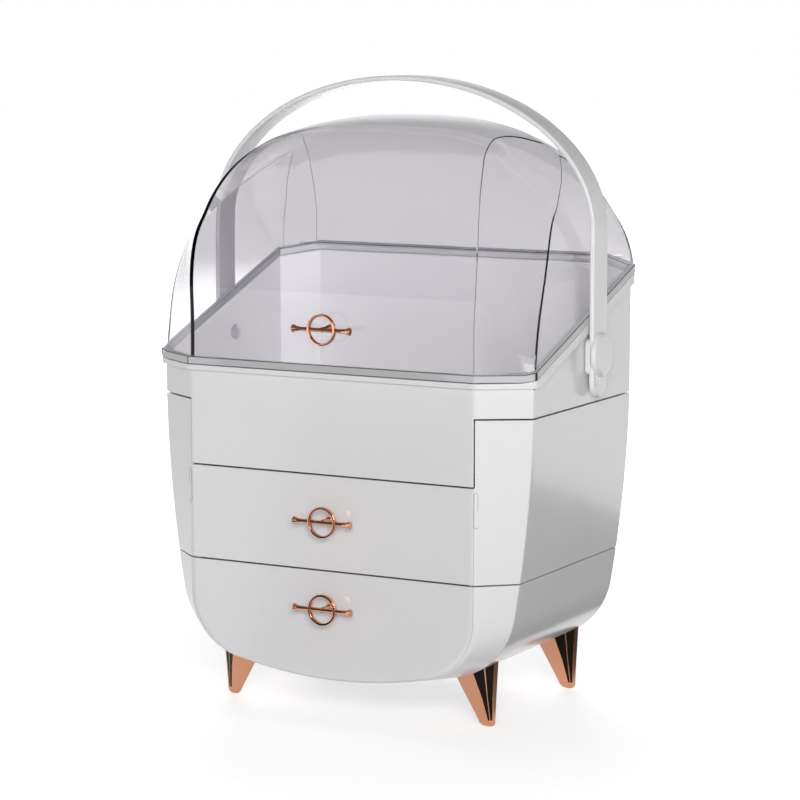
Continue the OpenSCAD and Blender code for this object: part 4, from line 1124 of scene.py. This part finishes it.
for node_name in ("tray_partitions", "upper_runners", "lower_runners", "upper_drawer_box",
                  "lower_drawer_box"):
    dress_node(node_name, WHITE_SATIN)
dress_node("tray_hinge_knuckles", WHITE_GLOSS)
dress_node("cover_hinge_knuckles", CLEAR)
for node_name in ("tray_screws", "base_screws", "leg_screws", "hinge_pins", "handle_pins", "pivot_washers",
                  "pivot_nuts", "upper_pull_screw", "lower_pull_screw", "cover_pull_screw"):
    dress_node(node_name, STEEL)


# ---- Stage, light and camera ------------------------------------------------

VIEW_AZIMUTH = 28.56
VIEW_ELEVATION = 7.85
VIEW_DISTANCE = 2.190
VIEW_TARGET = Vector((0.00343, 0.0, 0.22258))
LENS = 133.1

FLOOR_GLOW = 0.5
WORLD_LIGHT = 0.2
CEILING = 0.22
FLAG_TOWARDS = (-0.474, -0.87, 0.0)  # where polished surfaces meet a dark flag beside the camera
FLAG_LIGHT = 0.04
LAMP_TARGET = Vector((0, 0, 0.25))
LAMP_SIZE = (1.6, 1.4)


def make_camera():
    """Camera on a line at the view's azimuth and elevation through the target."""
    a, e = math.radians(VIEW_AZIMUTH), math.radians(VIEW_ELEVATION)
    back = Vector((math.sin(a) * math.cos(e), -math.cos(a) * math.cos(e), math.sin(e)))
    data = bpy.data.cameras.new("camera")
    data.lens = LENS
    data.sensor_width = 36.0
    data.clip_end = 50
    cam = new_object("camera", data)
    cam.location = VIEW_TARGET + back * VIEW_DISTANCE
    cam.rotation_euler = back.to_track_quat("Z", "Y").to_euler()
    bpy.context.scene.camera = cam


def white_ray(tree):
    """1 for rays of the camera, of mirrors and of clear plastic, which meet a white
    studio, and 0 for the rays that light the object."""
    path = add(tree, "LightPath").outputs
    seen = add(tree, "Math", {0: path["Is Camera Ray"], 1: path["Is Transmission Ray"]}, "MAXIMUM")
    return add(tree, "Math", {0: seen.outputs[0], 1: path["Is Glossy Ray"]}, "MAXIMUM").outputs[0]


def smooth_step(tree, value, start, end, low, high):
    """Result that goes smoothly from low to high while value goes from start to end."""
    node = add(tree, "MapRange", {"Value": value, "From Min": start, "From Max": end, "To Min": low,
                                  "To Max": high})
    node.interpolation_type = "SMOOTHSTEP"
    return node.outputs["Result"]


def level_sheet(name, corners, z, material):
    """Level sheet through corners (x, y), in metres, for the stage."""
    mesh = bpy.data.meshes.new(name)
    mesh.from_pydata([(x, y, z) for x, y in corners], [], [tuple(range(len(corners)))])
    mesh.materials.append(material)
    return new_object(name, mesh)


def make_floor():
    """Pale floor that stays white to the camera but keeps the object's shadow: its glow
    rises from FLOOR_GLOW beside the object to 1 further out."""
    mat, tree, shader = new_material("pale_floor", {"Base Color": (0.9, 0.9, 0.9, 1), "Roughness": 0.9,
                                                    "Specular IOR Level": 0.0})
    s = 9.0
    floor = level_sheet("floor", ((-s, -s), (s, -s), (s, s), (-s, s)), 0, mat)
    far = add(tree, "VectorMath", {0: add(tree, "TexCoord").outputs["Object"]}, "LENGTH")
    level = smooth_step(tree, far.outputs["Value"], 0.15, 0.75, FLOOR_GLOW, 1.0)
    strength = add(tree, "Math", {0: white_ray(tree), 1: level}, "MULTIPLY").outputs[0]
    glow = add(tree, "Emission", {"Strength": strength})
    both = add(tree, "AddShader", {0: shader.outputs["BSDF"], 1: glow.outputs["Emission"]})
    feed(tree, tree.nodes["Material Output"], {"Surface": both.outputs["Shader"]})


def dark_card(name, corners):
    """Black card on the floor that shows only in the gloss of the object."""
    mat, _tree, _shader = new_material(name, {"Base Color": (0.004, 0.004, 0.004, 1), "Roughness": 1.0,
                                              "Specular IOR Level": 0.0})
    card = level_sheet(name, corners, 0.0015, mat)
    card.visible_camera = card.visible_diffuse = card.visible_transmission = card.visible_shadow = False


def area_lamp(name, location, power):
    """Rectangular lamp at location, facing the object's middle."""
    data = bpy.data.lights.new(name, "AREA")
    data.shape = "RECTANGLE"
    data.size, data.size_y = LAMP_SIZE
    data.energy = power
    lamp = new_object(name, data)
    lamp.location = location
    lamp.rotation_euler = (Vector(location) - LAMP_TARGET).to_track_quat("Z", "Y").to_euler()
    return lamp


def make_world():
    """White to the camera and through clear surfaces, softer as a light. Polished
    surfaces meet white near the horizon, a dark flag at the front left and a dim
    ceiling overhead."""
    world = bpy.data.worlds.new("studio")
    bpy.context.scene.world = world
    world.use_nodes = True
    tree = world.node_tree
    look = add(tree, "TexCoord").outputs["Generated"]
    up = add(tree, "SeparateXYZ", {"Vector": look}).outputs["Z"]
    ceiling = smooth_step(tree, up, 0.12, 0.5, 1.0, CEILING)
    towards = add(tree, "VectorMath", {0: look, 1: FLAG_TOWARDS}, "DOT_PRODUCT").outputs["Value"]
    flag = smooth_step(tree, towards, 0.7, 0.85, 1.0, FLAG_LIGHT)
    gloss = add(tree, "Math", {0: flag, 1: ceiling}, "MULTIPLY").outputs[0]
    is_gloss = add(tree, "LightPath").outputs["Is Glossy Ray"]
    white = add(tree, "Mix", {"Factor": is_gloss, "A": 1.0, "B": gloss}).outputs["Result"]
    strength = add(tree, "MapRange", {"Value": white_ray(tree), "To Min": WORLD_LIGHT, "To Max": white})
    feed(tree, tree.nodes["Background"], {"Color": (1, 1, 1, 1), "Strength": strength.outputs["Result"]})


make_camera()
make_floor()
make_world()
dark_card("front_card", ((-0.151, -0.23), (-1.03, -1.84), (0.30, -1.84), (0.30, -0.23)))
dark_card("right_card", ((0.128, -0.1), (0.8, -0.1), (0.8, 0.87), (0.55, 0.70), (0.42, 0.61), (0.128, 0.4)))
area_lamp("key", (1.8, -3.0, 1.2), 84)
back_lamp = area_lamp("back", (-1.7, 2.7, 1.5), 50)
back_lamp.visible_glossy = back_lamp.visible_transmission = False

bpy.context.scene.view_settings.view_transform = "Standard"
